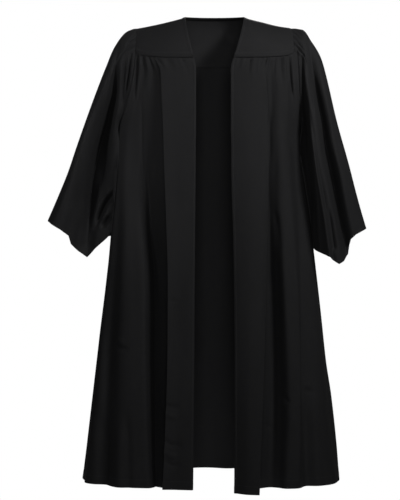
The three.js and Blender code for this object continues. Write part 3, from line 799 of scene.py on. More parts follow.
EVEN_STEP = 0.06  # share of a mean step that each sample counts beside its length
ROW_PLACES = (0, 0.05, 0.2, 0.9, 0.97, 1)
ROW_SHARES = (0, 0.018, 0.11, 0.93, 0.985, 1)


def stack_of(lines: Sequence[Line], z: Array) -> tuple[Array, Array]:
    """All the lines at some heights.

    Args:
        lines: The lines.
        z: The heights.

    Returns:
        How far across each line lies and how far out it stands.
    """
    across = np.stack([by_height(LEVELS, line.across, z) for line in lines])
    out = np.stack([by_height(LEVELS, line.out, z) for line in lines])
    return across, out


def even_places(lines: Sequence[Line], sign: float, count: int) -> Array:
    """Places among the lines for the columns of a front.

    Args:
        lines: The lines.
        sign: The side, -1 or 1.
        count: How many columns there are.

    Returns:
        Places, counted in lines, that are evenly spaced along the cloth at MIDDLE_HEIGHT.
    """
    places = np.linspace(0, len(lines) - 1, PLACE_SAMPLES)
    across, out = stack_of(lines, np.array([MIDDLE_HEIGHT]))
    a = np.array([between_lines(across, place)[0] for place in places])
    o = np.array([between_lines(out, place)[0] for place in places])
    points = CUT.cloth(sign, -1, np.full(a.shape, MIDDLE_HEIGHT), a, o)
    steps = np.linalg.norm(np.diff(points, axis=0), axis=-1)
    length = np.concatenate([[0], np.cumsum(steps + EVEN_STEP * steps.mean())])
    return np.interp(np.linspace(0, length[-1], count), length, places)


def row_shares(count: int) -> Array:
    """Shares of a panel's length for its rows, closer together near its seam and its hem."""
    return np.interp(np.linspace(0, 1, count), ROW_PLACES, ROW_SHARES)


# ---------------- how the pieces are finished


@dataclass(frozen=True)
class Sewing:
    """The sizes of the seams and hems."""

    cloth: float = 1.0  # thickness of the cloth
    seam_puff: float = 0.6  # how far the cloth stands up beside a seam
    yoke_edge: float = 1.7  # how far a yoke stands over the gathers at its seam
    seam_dip: float = 1.4  # how far the gathers are pulled in under it
    dip_reach: float = 4.0
    seam_soft: float = 2.6
    allowance: float = 12.5  # width of the seam allowance pressed up under a yoke
    allowance_edge: float = 2.4  # how softly the allowance ends
    tucked: float = 5.0  # as much of the allowance as is made
    tucked_in: float = 1.3  # how far it lies inside the piece above it
    strip_row: float = 6.3  # distance from a front edge to the stitching of its strip
    strip_lift: float = 1.0  # how far those stitches stand out of the cloth under the strip
    stitch_lift: float = 0.1
    hem: float = 24.0
    cuff_hem: float = 8.0
    hem_step: float = 0.3
    hem_edge: float = 2.0  # how softly the turned-up cloth ends
    hem_double: float = 0.8  # how much thicker the cloth is where it is turned up
    stitch_pull: float = -0.2
    stitch_pull_width: float = 2.2
    pucker: Unevenness = Unevenness(0.4, (9, 14))
    pucker_reach: float = 9.0
    slack: Unevenness = Unevenness(1.3, (46, 60))  # a hem's own unevenness
    slack_reach: float = 45.0
    # Pressed edges and stitch rows are made smoother and painted lighter, as a painted sheen.
    edge_press: float = 0.3  # how pressed an edge is, from 0 to 1
    row_press: float = 0.15  # and a row of stitching
    press_width: float = 3.0
    hem_edge_width: float = 4.0
    cuff_edge_width: float = 3.0


SEWING = Sewing()


def seam_rise(distance: Array, allowance: float = 0.0) -> Array:
    """How the cloth rises beside a seam.

    Args:
        distance: The distance from the seam.
        allowance: Width of the allowance under the cloth there, if any.

    Returns:
        The rise.
    """
    rise = SEWING.seam_puff * (1 - np.exp(-((distance / SEWING.seam_soft) ** 2)))
    if allowance:
        past = (distance - allowance + 1) / SEWING.allowance_edge
        rise = rise + SEWING.yoke_edge * (1 - smooth(past))
    return rise


def seam_thickness(rise: Array) -> Array:
    """Thickness beside a seam that keeps the inside even where the outside dips."""
    return SEWING.cloth - np.clip(SEWING.seam_puff - rise, 0, SEWING.seam_puff)


def turned_up(up: Array, depth: float) -> Array:
    """1 where a hem is turned up inside, and 0 above it."""
    return 1 - smooth((up - depth + 1) / SEWING.hem_edge)


def hem_rise(up: Array, along: Array, depth: float, seed: int) -> Array:
    """How a hem lifts the cloth: a step, a pulled-in stitch line and small puckers along it.

    Args:
        up: The distance above the edge.
        along: The distance along it.
        depth: How much is turned up.
        seed: Picks the puckers.

    Returns:
        The lift.
    """
    step = SEWING.hem_step * turned_up(up, depth)
    line = SEWING.stitch_pull * bump((up - depth) / SEWING.stitch_pull_width)
    near = np.exp(-(((up - depth) / SEWING.pucker_reach) ** 2))
    pucker = SEWING.pucker.over(seed, along, up) * near
    slack = SEWING.slack.over(seed + 1, along, up) * np.exp(-up / SEWING.slack_reach)
    return step + line + pucker + slack


def hem_thickness(up: Array, depth: float) -> Array:
    """Thickness of the cloth, doubled where the hem is turned up inside."""
    return SEWING.cloth * (1 + SEWING.hem_double * turned_up(up, depth))


def hem_press(up: Array, depth: float, edge: float) -> Array:
    """How pressed a hem is at its folded edge and its stitching, where a sheen is painted."""
    row = SEWING.row_press * bump((up - depth) / SEWING.press_width)
    return np.maximum(SEWING.edge_press * bump(up / edge), row)


def allowance_press(up: Array) -> Array:
    """How pressed a yoke is over the edge of its seam allowance, where a sheen is painted."""
    return SEWING.edge_press * bump((up - SEWING.allowance) / SEWING.press_width)


@dataclass(frozen=True)
class Flat:
    """The flat cut of a piece, in metres and square metres."""

    width: float
    length: float
    area: float


def dress(piece: Object, node: str, material: Material) -> Object:
    """Gives a piece its finish and its place in the robe.

    Args:
        piece: The piece.
        node: The CAD node that it stands for.
        material: Its material.

    Returns:
        The same piece.
    """
    piece.data.materials.append(material)
    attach(piece, BODY_NAME)
    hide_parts(node)
    return piece


# ---------------- yokes


def patch(top: Array, bottom: Array, start: Array, end: Array) -> Array:
    """A smooth surface that fills four edges.

    Args:
        top: Points of the first row.
        bottom: Points of the last row.
        start: Points of the first column.
        end: Points of the last column.

    Returns:
        The grid of points.
    """
    u = np.linspace(0, 1, len(top))[None, :, None]
    v = np.linspace(0, 1, len(start))[:, None, None]
    ruled = mix(top[None], bottom[None], v) + mix(start[:, None], end[:, None], u)
    upper, lower = mix(top[0], top[-1], u), mix(bottom[0], bottom[-1], u)
    return ruled - mix(upper, lower, v)


def settle_yoke(
    cloth: Cloth, shoulder: Array, armhole: Array, slack: Unevenness, pull: Unevenness, seed: int
) -> Array:
    """Gives a yoke its slack and its seams, with the allowance a low ridge above the lower one.

    Args:
        cloth: The yoke's cloth.
        shoulder: Each point's distance from a shoulder seam.
        armhole: Each point's distance from an armhole.
        slack: The unevenness of the whole yoke.
        pull: The unevenness just above its lower seam, where the gathers pull on it.
        seed: Picks the two patterns.

    Returns:
        How far the cloth rises beside its seams.
    """
    across, down, up = cloth.across(), cloth.down(), cloth.up()
    hold, pull_place, pull_reach, allowance_end = 12, 14, 13, 9
    held = smooth(down / hold) * smooth(up / hold) * smooth(armhole / hold)
    cloth.lift(slack.over(seed, across, down) * held)
    near = np.exp(-((up - pull_place) / pull_reach) ** 2)
    drawn = pull.over(seed + 10, across, up) * near
    rise = np.minimum(seam_rise(shoulder), seam_rise(armhole))
    ridge = seam_rise(up, SEWING.allowance) - SEWING.seam_puff
    rise += ridge * smooth(armhole / allowance_end)
    cloth.lift(rise + drawn * held)
    return rise


@dataclass
class FrontYoke:
    """The flat shoulder piece at one side of the front."""

    side: Side
    material: Material
    rows: int = 54
    columns: int = 76
    slack: Unevenness = Unevenness(1.1, (52, 38))
    pull: Unevenness = Unevenness(0.5, (11, 40))
    seed: int = 31
    flat: Flat = Flat(0.20, 0.165, 0.0277)
    cloth: Cloth | None = None

    def neck_edge(self, v: Array) -> Array:
        """The neck edge.

        Args:
            v: Places along it, from the shoulder at 0 to the yoke's seam at 1.

        Returns:
            The points there.
        """
        end = CUT.front_seam(self.side.value, np.zeros(1))[0]
        x = mix(CUT.neck_half, abs(end[0]), v**CUT.neck_bow)
        turn = v * RIGHT_ANGLE
        y, z = end[1] * np.sin(turn), end[2] * (1 - np.cos(turn))
        return np.stack([self.side.value * x, y, z], -1)

    def build(self) -> Object:
        """Makes the yoke, with its seam allowance showing as a low ridge above the seam."""
        sign = self.side.value
        u, v = np.linspace(0, 1, self.columns), np.linspace(0, 1, self.rows)
        seam_angle = CUT.armhole_angle(CUT.seam_front)
        grid = patch(
            CUT.shoulder_line(sign, u),
            CUT.front_seam(sign, u),
            self.neck_edge(v),
            CUT.armhole(sign, v * seam_angle, -1),
        )
        cloth = self.cloth = Cloth(grid)
        down, up, across = cloth.down(), cloth.up(), cloth.across()
        armhole = across[:, -1:] - across
        rise = settle_yoke(cloth, down, armhole, self.slack, self.pull, self.seed + sign)
        thickness, press = seam_thickness(rise), allowance_press(up)
        piece = cloth.wall(f"{self.side}_front_yoke", thickness, press, SEWING.tucked)
        node = f"yoke_front_{self.side}"
        dress(piece, node, self.material)
        return piece


@dataclass
class BackYoke:
    """The shoulder piece across the back, cut in one from armhole to armhole."""

    material: Material
    rows: int = 54
    columns: int = 151
    neck_share: float = 0.42  # share of its half width that lies under the neck
    neck_roundness: Point = (0.9, 0.6)
    corner_width: float = 0.4  # how far the evening out reaches beside the neck's corners
    corner_times: int = 260
    whole_times: int = 25
    slack: Unevenness = Unevenness(1.3, (64, 44))
    pull: Unevenness = Unevenness(0.5, (12, 40))
    seed: int = 37
    flat: Flat = Flat(0.56, 0.19, 0.078)
    cloth: Cloth | None = None

    def upper_edge(self, across: Array) -> Array:
        """The edge along a shoulder, the neck and the other shoulder.

        Args:
            across: Places along it, from the right armhole at -1 to the left at 1.

        Returns:
            The points there.
        """
        share, sign = np.abs(across), np.where(across < 0, -1, 1)
        turn = np.minimum(share / self.neck_share, 1) * RIGHT_ANGLE
        inside = np.maximum(np.cos(turn), 0)
        neck_y, neck_z = (inside**power for power in self.neck_roundness)
        neck_x = sign * CUT.neck_half * np.sin(turn)
        neck = np.stack([neck_x, CUT.nape_y * neck_y, CUT.nape_z * neck_z], -1)
        past = np.maximum(share - self.neck_share, 0) / (1 - self.neck_share)
        return np.where((share < self.neck_share)[:, None], neck, CUT.shoulder_line(sign, past))

    def build(self) -> Object:
        """Makes the yoke, evened out below the points where the neck meets the shoulders."""
        across = np.linspace(-1, 1, self.columns)
        v = np.linspace(0, 1, self.rows)
        seam_angle = CUT.armhole_angle(CUT.seam_back)
        grid = patch(
            self.upper_edge(across),
            CUT.back_seam(across),
            CUT.armhole(-1, v * seam_angle, 1),
            CUT.armhole(1, v * seam_angle, 1),
        )
        cloth = self.cloth = Cloth(grid)
        share = np.abs(across)[None, :]
        corner = bump((share - self.neck_share) / self.corner_width)
        cloth.relax(corner * (1 - smooth(v - 0.1))[:, None], self.corner_times)
        cloth.relax(np.ones(grid.shape[:2]), self.whole_times)
        down, up, along = cloth.down(), cloth.up(), cloth.across()
        armhole = np.minimum(along, along[:, -1:] - along)
        shoulder = np.where(share < self.neck_share, 99.0, down)  # the neck has no shoulder seam
        rise = settle_yoke(cloth, shoulder, armhole, self.slack, self.pull, self.seed)
        thickness = SEWING.cloth + np.maximum(rise - SEWING.seam_puff, 0)
        piece = cloth.wall("back_yoke", thickness, allowance_press(up))
        dress(piece, "yoke_back", self.material)
        return piece


# ---------------- fronts and back


EASE_REACH = 120  # how far above and below the underarm a panel is evened out
EASE_TIMES = 60
SIDE_HOLD = 22  # how far from a side seam the cloth is free
SEAM_HOLD = 10  # and how far below an upper seam
HEM_HOLD = 8


def ease_underarm(cloth: Cloth, share: Array) -> None:
    """Evens out a panel beside the underarm, where share nears 1."""
    near = bump((cloth.points[..., 2] - CUT.underarm) / EASE_REACH)
    cloth.relax(smooth((share - 0.5) / 0.25) * near, EASE_TIMES)


def freedom(side: Array, down: Array) -> Array:
    """How free a panel's cloth is: 0 at its side and upper seams, 1 away from them."""
    return smooth(side / SIDE_HOLD) * smooth(down / SEAM_HOLD)


@dataclass
class FrontPanel:
    """One of the two long fronts, gathered into its yoke, with a knife pleat beside the opening."""

    side: Side
    material: Material
    lines: tuple[Line, ...]
    gathers: tuple[Gather, ...]
    creases: tuple[Crease, ...]
    seed: int
    hem_dip: float = 0.0  # the band hangs this much lower than the rest of the hem
    rows: int = 284
    columns: int = 112
    small: GatherRow = GatherRow(8.5, 1.1, (25, 90))  # between the listed gathers
    small_margin: float = 6
    slack: Unevenness = Unevenness(0.9, (48, 170))
    strip_hold: float = 15  # how far from the opening its unevenness starts
    flat: Flat = Flat(0.55, 1.28, 0.505)
    cloth: Cloth | None = None

    def grid(self) -> Array:
        """Points of the panel, before its gathers and creases."""
        sign = self.side.value
        shares = row_shares(self.rows)
        places = even_places(self.lines, sign, self.columns)
        top_across, _ = stack_of(self.lines, np.array([LEVELS[0]]))
        columns = []
        for place in places:
            start = between_lines(top_across, place)
            top = CUT.front_seam(sign, start)[0, 2]
            z = mix(top, CUT.hem + CUT.side_rise * start[0] ** 2, shares)
            across, out = (between_lines(stack, place) for stack in stack_of(self.lines, z))
            column = CUT.cloth(sign, -1, z, across, out)
            low = np.clip((CUT.underarm - z) / (CUT.underarm - CUT.hem), 0, 1)
            column[:, 2] -= self.hem_dip * low**2 * (1 - smooth(place - PLEAT_EDGE))
            columns.append(column)
        return np.stack(columns, 1)

    def build(self) -> Object:
        """Makes the panel."""
        cloth = self.cloth = Cloth(self.grid())
        ease_underarm(cloth, np.linspace(0, 1, self.columns)[None, :])
        seam = cloth.across()[0]
        cloth.gather(self.gathers, seam)
        span = (self.small_margin, seam[-1] - self.small_margin)
        cloth.gather(self.small.along(self.seed, span), seam)
        across, down, up = cloth.across(), cloth.down(), cloth.up()
        side = across[:, -1:] - across
        held = freedom(side, down)
        cloth.crease(self.creases, held)
        slack = self.slack.over(self.seed + 1, across, down) * held
        cloth.lift(slack * smooth(across / self.strip_hold))
        hem = hem_rise(up, across, SEWING.hem, self.seed + 2)
        cloth.lift(hem * smooth(side / HEM_HOLD))
        dip = SEWING.seam_dip * np.exp(-down / SEWING.dip_reach)
        cloth.lift(np.minimum(seam_rise(side), seam_rise(down)) - dip)
        thickness = hem_thickness(up, SEWING.hem)
        press = hem_press(up, SEWING.hem, SEWING.hem_edge_width)
        piece = cloth.wall(f"{self.side}_front", thickness, press, SEWING.tucked)
        return dress(piece, f"front_{self.side}", self.material)


@dataclass
class BackPanel:
    """The wide back, gathered into the back yoke and falling in flutes."""

    material: Material
    flutes: tuple[Point, ...]  # where each lies, from -1 to 1, and how far out it stands at the hem
    flute_share: tuple[float, ...]  # how much of that at each of LEVELS
    creases: tuple[Crease, ...]
    seed: int = 71
    rows: int = 228
    columns: int = 176
    crowding: float = 0.06  # how much closer the columns stand near the sides
    calm: float = 95.0  # half the width of the middle, where the gathers are small
    margin: float = 8
    usual: GatherRow = GatherRow(11, 2.4, (60, 210))
    broad: GatherRow = GatherRow(31, 3.2, (260, 620))
    small: GatherRow = GatherRow(14, 0.9, (30, 70))
    slack: Unevenness = Unevenness(1.2, (52, 190))
    flat: Flat = Flat(1.04, 1.28, 1.03)
    cloth: Cloth | None = None

    def grid(self) -> Array:
        """Points of the panel, before its gathers and creases."""
        shares = row_shares(self.rows)[:, None]
        across = np.linspace(-1, 1, self.columns)[None, :]
        across = across - self.crowding * np.sin(across * math.pi)
        top = CUT.back_seam(across[0])[:, 2]
        z = mix(top[None, :], CUT.hem + CUT.side_rise * across**2, shares)
        places, heights = zip(*self.flutes)
        out = through(places, heights, across) * by_height(LEVELS, self.flute_share, z)
        across = np.broadcast_to(across, z.shape)
        return CUT.cloth(np.where(across < 0, -1, 1), 1, z, np.abs(across), out)

    def build(self) -> Object:
        """Makes the panel."""
        cloth = self.cloth = Cloth(self.grid())
        ease_underarm(cloth, np.abs(np.linspace(-1, 1, self.columns))[None, :])
        seam = cloth.across()[0]
        middle, whole = seam[-1] / 2, (self.margin, seam[-1] - self.margin)
        row = self.usual.along(self.seed, whole) + self.broad.along(self.seed + 1, whole)
        cloth.gather([g for g in row if abs(g.place - middle) > self.calm], seam)
        calm = (middle - self.calm, middle + self.calm)
        cloth.gather(self.small.along(self.seed + 2, calm), seam)
        across, down, up = cloth.across(), cloth.down(), cloth.up()
        side = np.minimum(across, across[:, -1:] - across)
        held = freedom(side, down)
        cloth.crease(self.creases, held)
        cloth.lift(self.slack.over(self.seed + 2, across, down) * held)
        hem = hem_rise(up, across, SEWING.hem, self.seed + 3)
        cloth.lift(hem * smooth(side / HEM_HOLD))
        rise = np.minimum(seam_rise(side), seam_rise(down))
        cloth.lift(rise)
        thickness = hem_thickness(up, SEWING.hem) + seam_thickness(rise) - SEWING.cloth
        press = hem_press(up, SEWING.hem, SEWING.hem_edge_width)
        piece = cloth.wall("back_panel", thickness, press, SEWING.tucked)
        return dress(piece, "back", self.material)


# ---------------- sleeves


@dataclass(frozen=True)
class Roll:
    """A broad roll or hollow down a sleeve, given at the armhole, the middle and the cuff."""

    name: str
    angle: Place  # degrees round the sleeve: 0 on top, 90 in front, 180 under
    width: float
    out: Place
    level: bool = False  # straight forwards or backwards, with a flat top
    edge: float = 0.4  # the share of its half width over which a level roll rises


@dataclass(frozen=True)
class SleeveCut:
    """The lines that a sleeve hangs between, its depth, the dips of its cuff and its rolls."""

    top: tuple[Point, ...]  # x and z of the line along its top
    under: tuple[Point, ...]  # and of the line along the underarm seam
    depth: tuple[float, ...]  # half its depth, evenly spaced from the armhole to the cuff
    drop: tuple[Point, ...]  # degrees round the sleeve, and how far the cuff hangs down there
    rolls: tuple[Roll, ...]


RIGHT_SLEEVE = SleeveCut(
    top=(
        (232, -34), (258, -41), (297, -88), (321, -145), (362, -247), (413, -391), (438, -463),
        (499, -607),
    ),
    under=((290, -345), (293, -361), (298, -420), (303, -500), (308, -575), (314, -642)),
    depth=(85, 98, 104, 106, 104),
    drop=(
        (0, 0), (30, 6), (60, 22), (75, 35), (79, 58), (90, 74), (107, 89), (134, 38), (152, 6),
        (180, 0), (205, 4), (225, 16), (270, 36), (315, 12), (340, 0), (360, 0),
    ),
    rolls=(
        Roll("outer roll", (28, 38, 38), 34, (3, 4, 4)),
        Roll("front roll", (54, 78, 76), 28, (3, 6, 5)),
        Roll("inner hollow", (108, 97, 101), 63, (-24, -102, -70), level=True, edge=1.0),
        Roll("inner drape", (180, 180, 180), 42, (8, 42, 28), level=True, edge=1.0),
        Roll("back roll", (218, 217, 216), 36, (9, 20, 18)),
        Roll("back trough", (268, 272, 276), 28, (-6, -16, -12)),
        Roll("back outer roll", (318, 316, 316), 34, (5, 9, 10)),
    ),
)
LEFT_SLEEVE = SleeveCut(
    top=(
        (232, -34), (262, -37), (289, -73), (316, -121), (332, -175), (366, -319), (406, -463),
        (451, -630),
    ),
    under=((257, -345), (261, -360), (266, -420), (278, -500), (290, -575), (302, -670)),
    depth=(85, 98, 103, 104, 102),
    drop=(
        (0, 0), (22, 1), (42, 6), (60, 12), (69, 22), (75, 62), (88, 80), (99, 85), (120, 58),
        (145, 34), (180, 0), (225, 26), (270, 34), (315, 8), (340, 0), (360, 0),
    ),
    rolls=(
        Roll("outer roll", (24, 38, 38), 28, (6, 11, 9)),
        Roll("outer fold", (72, 82, 78), 18, (-6, -18, -14)),
        Roll("front roll", (98, 108, 106), 24, (5, 9, 8)),
        Roll("inner front", (140, 146, 146), 38, (6, 36, 26), level=True),
        Roll("back roll", (218, 217, 216), 36, (9, 20, 18)),
        Roll("back trough", (262, 258, 262), 28, (-6, -15, -13)),
        Roll("back outer roll", (310, 306, 304), 34, (5, 10, 11)),
    ),
)


def sleeve_line(points: Sequence[Point], t: Array) -> Array:
    """Points of a sleeve's top or under line, at shares of its length."""
    line = curve(points, t)
    return np.insert(line, 1, 0, axis=-1)


@dataclass
class Sleeve:
    """A wide bell sleeve, gathered into the top of its armhole."""

    side: Side
    material: Material
    shape: SleeveCut
    gathers: tuple[Gather, ...]
    front_creases: tuple[Crease, ...]
    back_creases: tuple[Crease, ...]
    seed: int
    armhole_fade: float = 16
    drop_bow: float = 1.6
    tuck: float = 16  # how far the cloth beside the underarm seam leans on the body
    tuck_angles: Point = (152, 208)
    tuck_width: float = 34
    tuck_start: float = 0.2  # share of the length over which it sets in
    rows: int = 180
    row_bow: float = 1.12  # above 1 the rows stand closer together near the armhole
    columns: int = 232
    finest: float = 145  # columns stand closest together here, beside the body
    crowding: float = 20
    facing_fade: float = 0.3  # creases fade where the cloth turns away from the front or back
    ease: float = 0.8  # how much its creases are evened out, away from the armhole
    ease_times: int = 5
    slack: Unevenness = Unevenness(1.2, (44, 130))
    flat: Flat = Flat(0.78, 0.62, 0.375)
    cloth: Cloth | None = None

    def grid(self) -> Array:
        """Points of the sleeve, before its gathers and creases."""
        t = (np.linspace(0, 1, self.rows) ** self.row_bow)[:, None]
        turn = np.linspace(0, 360, self.columns, endpoint=False)[None, :]
        closer = np.sin(np.radians(turn - self.finest)) + math.sin(math.radians(self.finest))
        degrees = turn - self.crowding * closer
        angle = np.radians(degrees)
        lines = (self.shape.top, self.shape.under)
        top, under = (sleeve_line(line, t[:, 0])[:, None] for line in lines)
        level = ((1 + np.cos(angle)) / 2)[..., None]
        points = top * level + under * (1 - level)
        reach = CUT.armhole_reach[0 if self.side is Side.RIGHT else 1]
        ring = CUT.armhole(self.side.value, angle, -1)
        straight = CUT.shoulder_x + reach * (1 - level[..., 0])
        points[..., 0] += (np.abs(ring[..., 0]) - straight) * (1 - t) ** self.armhole_fade
        points[..., 1] = -through(np.linspace(0, 1, 5), self.shape.depth, t) * np.sin(angle)
        radial = unit(top - under) * np.cos(angle)[..., None]
        radial[..., 1] = -np.sin(angle)
        out, forward = self._rolls(t, degrees)
        points += unit(radial) * out[..., None]
        points[..., 1] -= forward * np.sign(np.sin(angle))
        tuck = sum(bump((degrees - place) / self.tuck_width) for place in self.tuck_angles)
        points[..., 0] -= self.tuck * tuck * smooth(t / self.tuck_start)
        points[..., 2] -= np.interp(degrees, *zip(*self.shape.drop)) * t**self.drop_bow
        points[..., 0] *= self.side.value
        return points

    def _rolls(self, t: Array, degrees: Array) -> tuple[Array, Array]:
        """How far the rolls move the cloth.

        Args:
            t: Shares of the length.
            degrees: Angles round the sleeve.

        Returns:
            How far out from the sleeve's middle, and how far straight forwards or backwards.
        """
        out, forward = np.zeros(degrees.shape), np.zeros(degrees.shape)
        for roll in self.shape.rolls:
            centre = through((0, 0.5, 1), roll.angle, t)
            height = through((0, 0.12, 0.5, 1), (0, *roll.out), t)
            offset = (degrees - centre) / roll.width
            if roll.level:
                forward = forward + height * smooth((1 - np.abs(offset)) / roll.edge)
            else:
                out = out + height * bump(offset)
        return out, forward

    def build(self) -> Object:
        """Makes the sleeve."""
        cloth = self.cloth = Cloth(self.grid(), closed=True)
        first = cloth.points[0]
        steps = np.linalg.norm(np.roll(first, -1, axis=0) - first, axis=-1)
        ring = np.concatenate([[0], np.cumsum(steps)[:-1]])
        ring = np.where(ring > steps.sum() / 2, ring - steps.sum(), ring)
        cloth.gather(self.gathers, ring)
        facing = cloth.normals()[..., 1]
        down, up = cloth.down(), cloth.up()
        held = smooth(down / SEAM_HOLD)
        for creases, way in ((self.front_creases, -1), (self.back_creases, 1)):
            cloth.crease(creases, held * smooth(way * facing / self.facing_fade), way)
        cloth.relax(self.ease * smooth((down - 20) / 60), self.ease_times)
        around = np.abs(ring)[None, :]
        cloth.lift(self.slack.over(self.seed, around, down) * held)
        cloth.lift(hem_rise(up, around, SEWING.cuff_hem, self.seed + 1))
        cloth.lift(seam_rise(down))
        thickness = hem_thickness(up, SEWING.cuff_hem)
        press = hem_press(up, SEWING.cuff_hem, SEWING.cuff_edge_width)
        piece = cloth.wall(f"{self.side}_sleeve", thickness, press, SEWING.tucked)
        return dress(piece, f"sleeve_{self.side}", self.material)


# ---------------- strips along the edges


def ride_along(
    points: Array, normals: Array, distance: Array, section: Sequence[Point]
) -> Array:
    """Sweeps a section along an edge of the cloth.

    Args:
        points: The cloth's points, with one row for each station and its columns leading away
            from the edge.
        normals: The cloth's outward directions there.
        distance: Each point's distance from the edge.
        section: The section's points, as distance in from the edge and height out of the cloth.

    Returns:
        One row of the section's points for each station.
    """
    inward = unit(points[:, 1] - points[:, 0])
    rows = []
    for along, height in section:
        at = np.empty((len(points), 3))
        square = np.empty((len(points), 3))
        for i in range(len(points)):
            for k in range(3):
                at[i, k] = np.interp(along, distance[i], points[i, :, k])
                square[i, k] = np.interp(along, distance[i], normals[i, :, k])
        rows.append(at + inward * min(along, 0) + unit(square) * height)
    return np.stack(rows, 1)


EDGE_SECTION = (
    (7.7, 0.25), (7.1, 0.55), (5.2, 0.65), (2.6, 0.62), (0.9, 0.45), (-0.3, 0.05), (-0.7, -0.55),
    (-0.45, -1.3), (0.7, -1.75), (3.4, -1.85), (6.4, -1.75), (6.9, -1.35),
)
NECK_SECTION = (
    (4.6, 0.3), (4.0, 0.75), (2.4, 0.95), (0.7, 0.85), (-0.45, 0.3), (-0.75, -0.5),
    (-0.45, -1.3), (0.7, -1.75), (4.4, -1.9), (8.6, -1.85), (9.3, -1.7), (9.6, -1.3),
)
OUTER_COLUMN = 3  # a column of each section that lies on the outside of the cloth
STRIP_REACH = 14  # how many rows or columns of the cloth a strip looks at
STRIP_THICKNESS = 0.5
# How pressed the strips are; the material paints this as a sheen.
STRIP_PRESS = 0.2
NECK_PRESS = 0.35


def face_outwards(strip: Cloth, outer: Array) -> None:
    """Turns a strip so that its outer side, near its last rows, faces the way the cloth does."""
    if (strip.normals()[-len(outer) :, OUTER_COLUMN] * outer).sum() < 0:
        strip.outward *= -1


@dataclass
class EdgeStrip:
    """The turned strip that finishes the neck edge of a yoke and the whole front edge below it."""

    side: Side
    material: Material
    yoke: FrontYoke
    panel: FrontPanel

    def build(self) -> Object:
        """Makes the strip round the finished edges of the yoke and the front."""
        near = (slice(None), slice(0, STRIP_REACH))
        rows = []
        for cloth in (self.yoke.cloth, self.panel.cloth):
            grids = (cloth.points, cloth.normals(), cloth.across())
            rows.append(ride_along(*(grid[near] for grid in grids), EDGE_SECTION))
        strip = Cloth(np.concatenate([rows[0][:-1], rows[1]]))
        face_outwards(strip, self.panel.cloth.normals()[:, 0])
        piece = strip.wall(f"{self.side}_edge_strip", STRIP_THICKNESS, STRIP_PRESS)
        return dress(piece, f"edge_band_{self.side}", self.material)


@dataclass
class NeckStrip:
    """The strip that binds the back of the neck, deeper on the inside."""

    material: Material
    yoke: BackYoke

    def build(self) -> Object:
        """Makes the strip round the back yoke's neck edge."""
        across = np.linspace(-1, 1, self.yoke.columns)
        under = np.abs(across) < self.yoke.neck_share
        cloth = self.yoke.cloth
        grids = (cloth.points, cloth.normals(), cloth.down())
        points, normals, down = (grid[:STRIP_REACH, under].swapaxes(0, 1) for grid in grids)
        strip = Cloth(ride_along(points, normals, down, NECK_SECTION))
        face_outwards(strip, normals[:, 0])
        piece = strip.wall("back_neck_strip", STRIP_THICKNESS, NECK_PRESS)
        return dress(piece, "neck_band", self.material)


# ---------------- nodes


class Nodes:
    """Short calls that add nodes to a tree."""

    def __init__(self, tree: NodeTree) -> None:
        """Takes the tree."""
        self.tree = tree

    def feed(self, socket: NodeSocket, value: object) -> None:
        """Links a socket to another, or gives it a plain value."""
        if isinstance(value, NodeSocket):
            self.tree.links.new(value, socket)
        else:
            socket.default_value = value

    def fill(self, node: Node, values: dict[str | int, object]) -> None:
        """Feeds some of a node's inputs, by their names or places."""
        for key, value in values.items():
            self.feed(node.inputs[key], value)

    def close(self, values: dict[str, object]) -> NodeTree:
        """Ends a group with what it puts out, and gives its tree."""
        self.fill(self.tree.nodes.new("NodeGroupOutput"), values)
        return self.tree

    def add(
        self, kind: str, values: dict[str | int, object] | None = None, **settings: object
    ) -> Sequence[NodeSocket]:
        """Adds a node.

        Args:
            kind: The node's type.
            values: What its inputs are fed.
            settings: Its settings, made before its inputs are fed.

        Returns:
            Its outputs.
        """
        node = self.tree.nodes.new(kind)
        for name, value in settings.items():
            setattr(node, name, value)
        self.fill(node, values or {})
        return node.outputs

    def do(self, operation: str, *values: object) -> NodeSocket:
        """Adds a Math node and gives its value."""
        return self.add("ShaderNodeMath", dict(enumerate(values)), operation=operation)[0]

    def vector(self, operation: str, values: dict[str | int, object]) -> NodeSocket:
        """Adds a Vector Math node and gives its result."""
        result = "Value" if operation == "DOT_PRODUCT" else "Vector"
        return self.add("ShaderNodeVectorMath", values, operation=operation)[result]

    def scaled(self, vector: object, scale: object) -> NodeSocket:
        """A vector or colour times a number."""
        return self.vector("SCALE", {0: vector, "Scale": scale})

    def noise(
        self, vector: object, scale: float, detail: float, roughness: float = 0.5
    ) -> NodeSocket:
        """Adds a Noise Texture and gives its value."""
        values = {"Scale": scale, "Detail": detail, "Roughness": roughness, "Vector": vector}
        return self.add("ShaderNodeTexNoise", values)[0]

    def raised(self, height: object, distance: float, normal: object = None) -> NodeSocket:
        """Adds a Bump node.

        Args:
            height: The height.
            distance: How far one unit of it stands out, in metres.
            normal: The normal of the bump beneath it, if there is one.

        Returns:
            Its normal.
        """
        values = {"Height": height, "Distance": distance}
        if normal is not None:
            values["Normal"] = normal
        return self.add("ShaderNodeBump", values)["Normal"]


def start_group(
    name: str, kind: str, inputs: dict[str, str], outputs: dict[str, str]
) -> tuple[Nodes, Sequence[NodeSocket]]:
    """Starts a node group.

    Args:
        name: The group's name.
        kind: The type of its tree.
        inputs: The names and kinds of what it takes.
        outputs: The names and kinds of what it puts out.

    Returns:
        Its nodes, and the sockets with what it takes.
    """
    nodes = Nodes(bpy.data.node_groups.new(name, kind))
    face = nodes.tree.interface
    for side, sockets in (("INPUT", inputs), ("OUTPUT", outputs)):
        for label, socket in sockets.items():
            face.new_socket(name=label, in_out=side, socket_type=f"NodeSocket{socket}")
    return nodes, nodes.add("NodeGroupInput")


def start_material(name: str) -> tuple[Material, Nodes, Node]:
    """Starts a material.

    Args:
        name: Its name.

    Returns:
        The material, the nodes of its tree and its shader.
    """
    material = bpy.data.materials.new(name)
    material.use_nodes = True
    tree = material.node_tree
    return material, Nodes(tree), tree.nodes["Principled BSDF"]


# ---------------- stitching


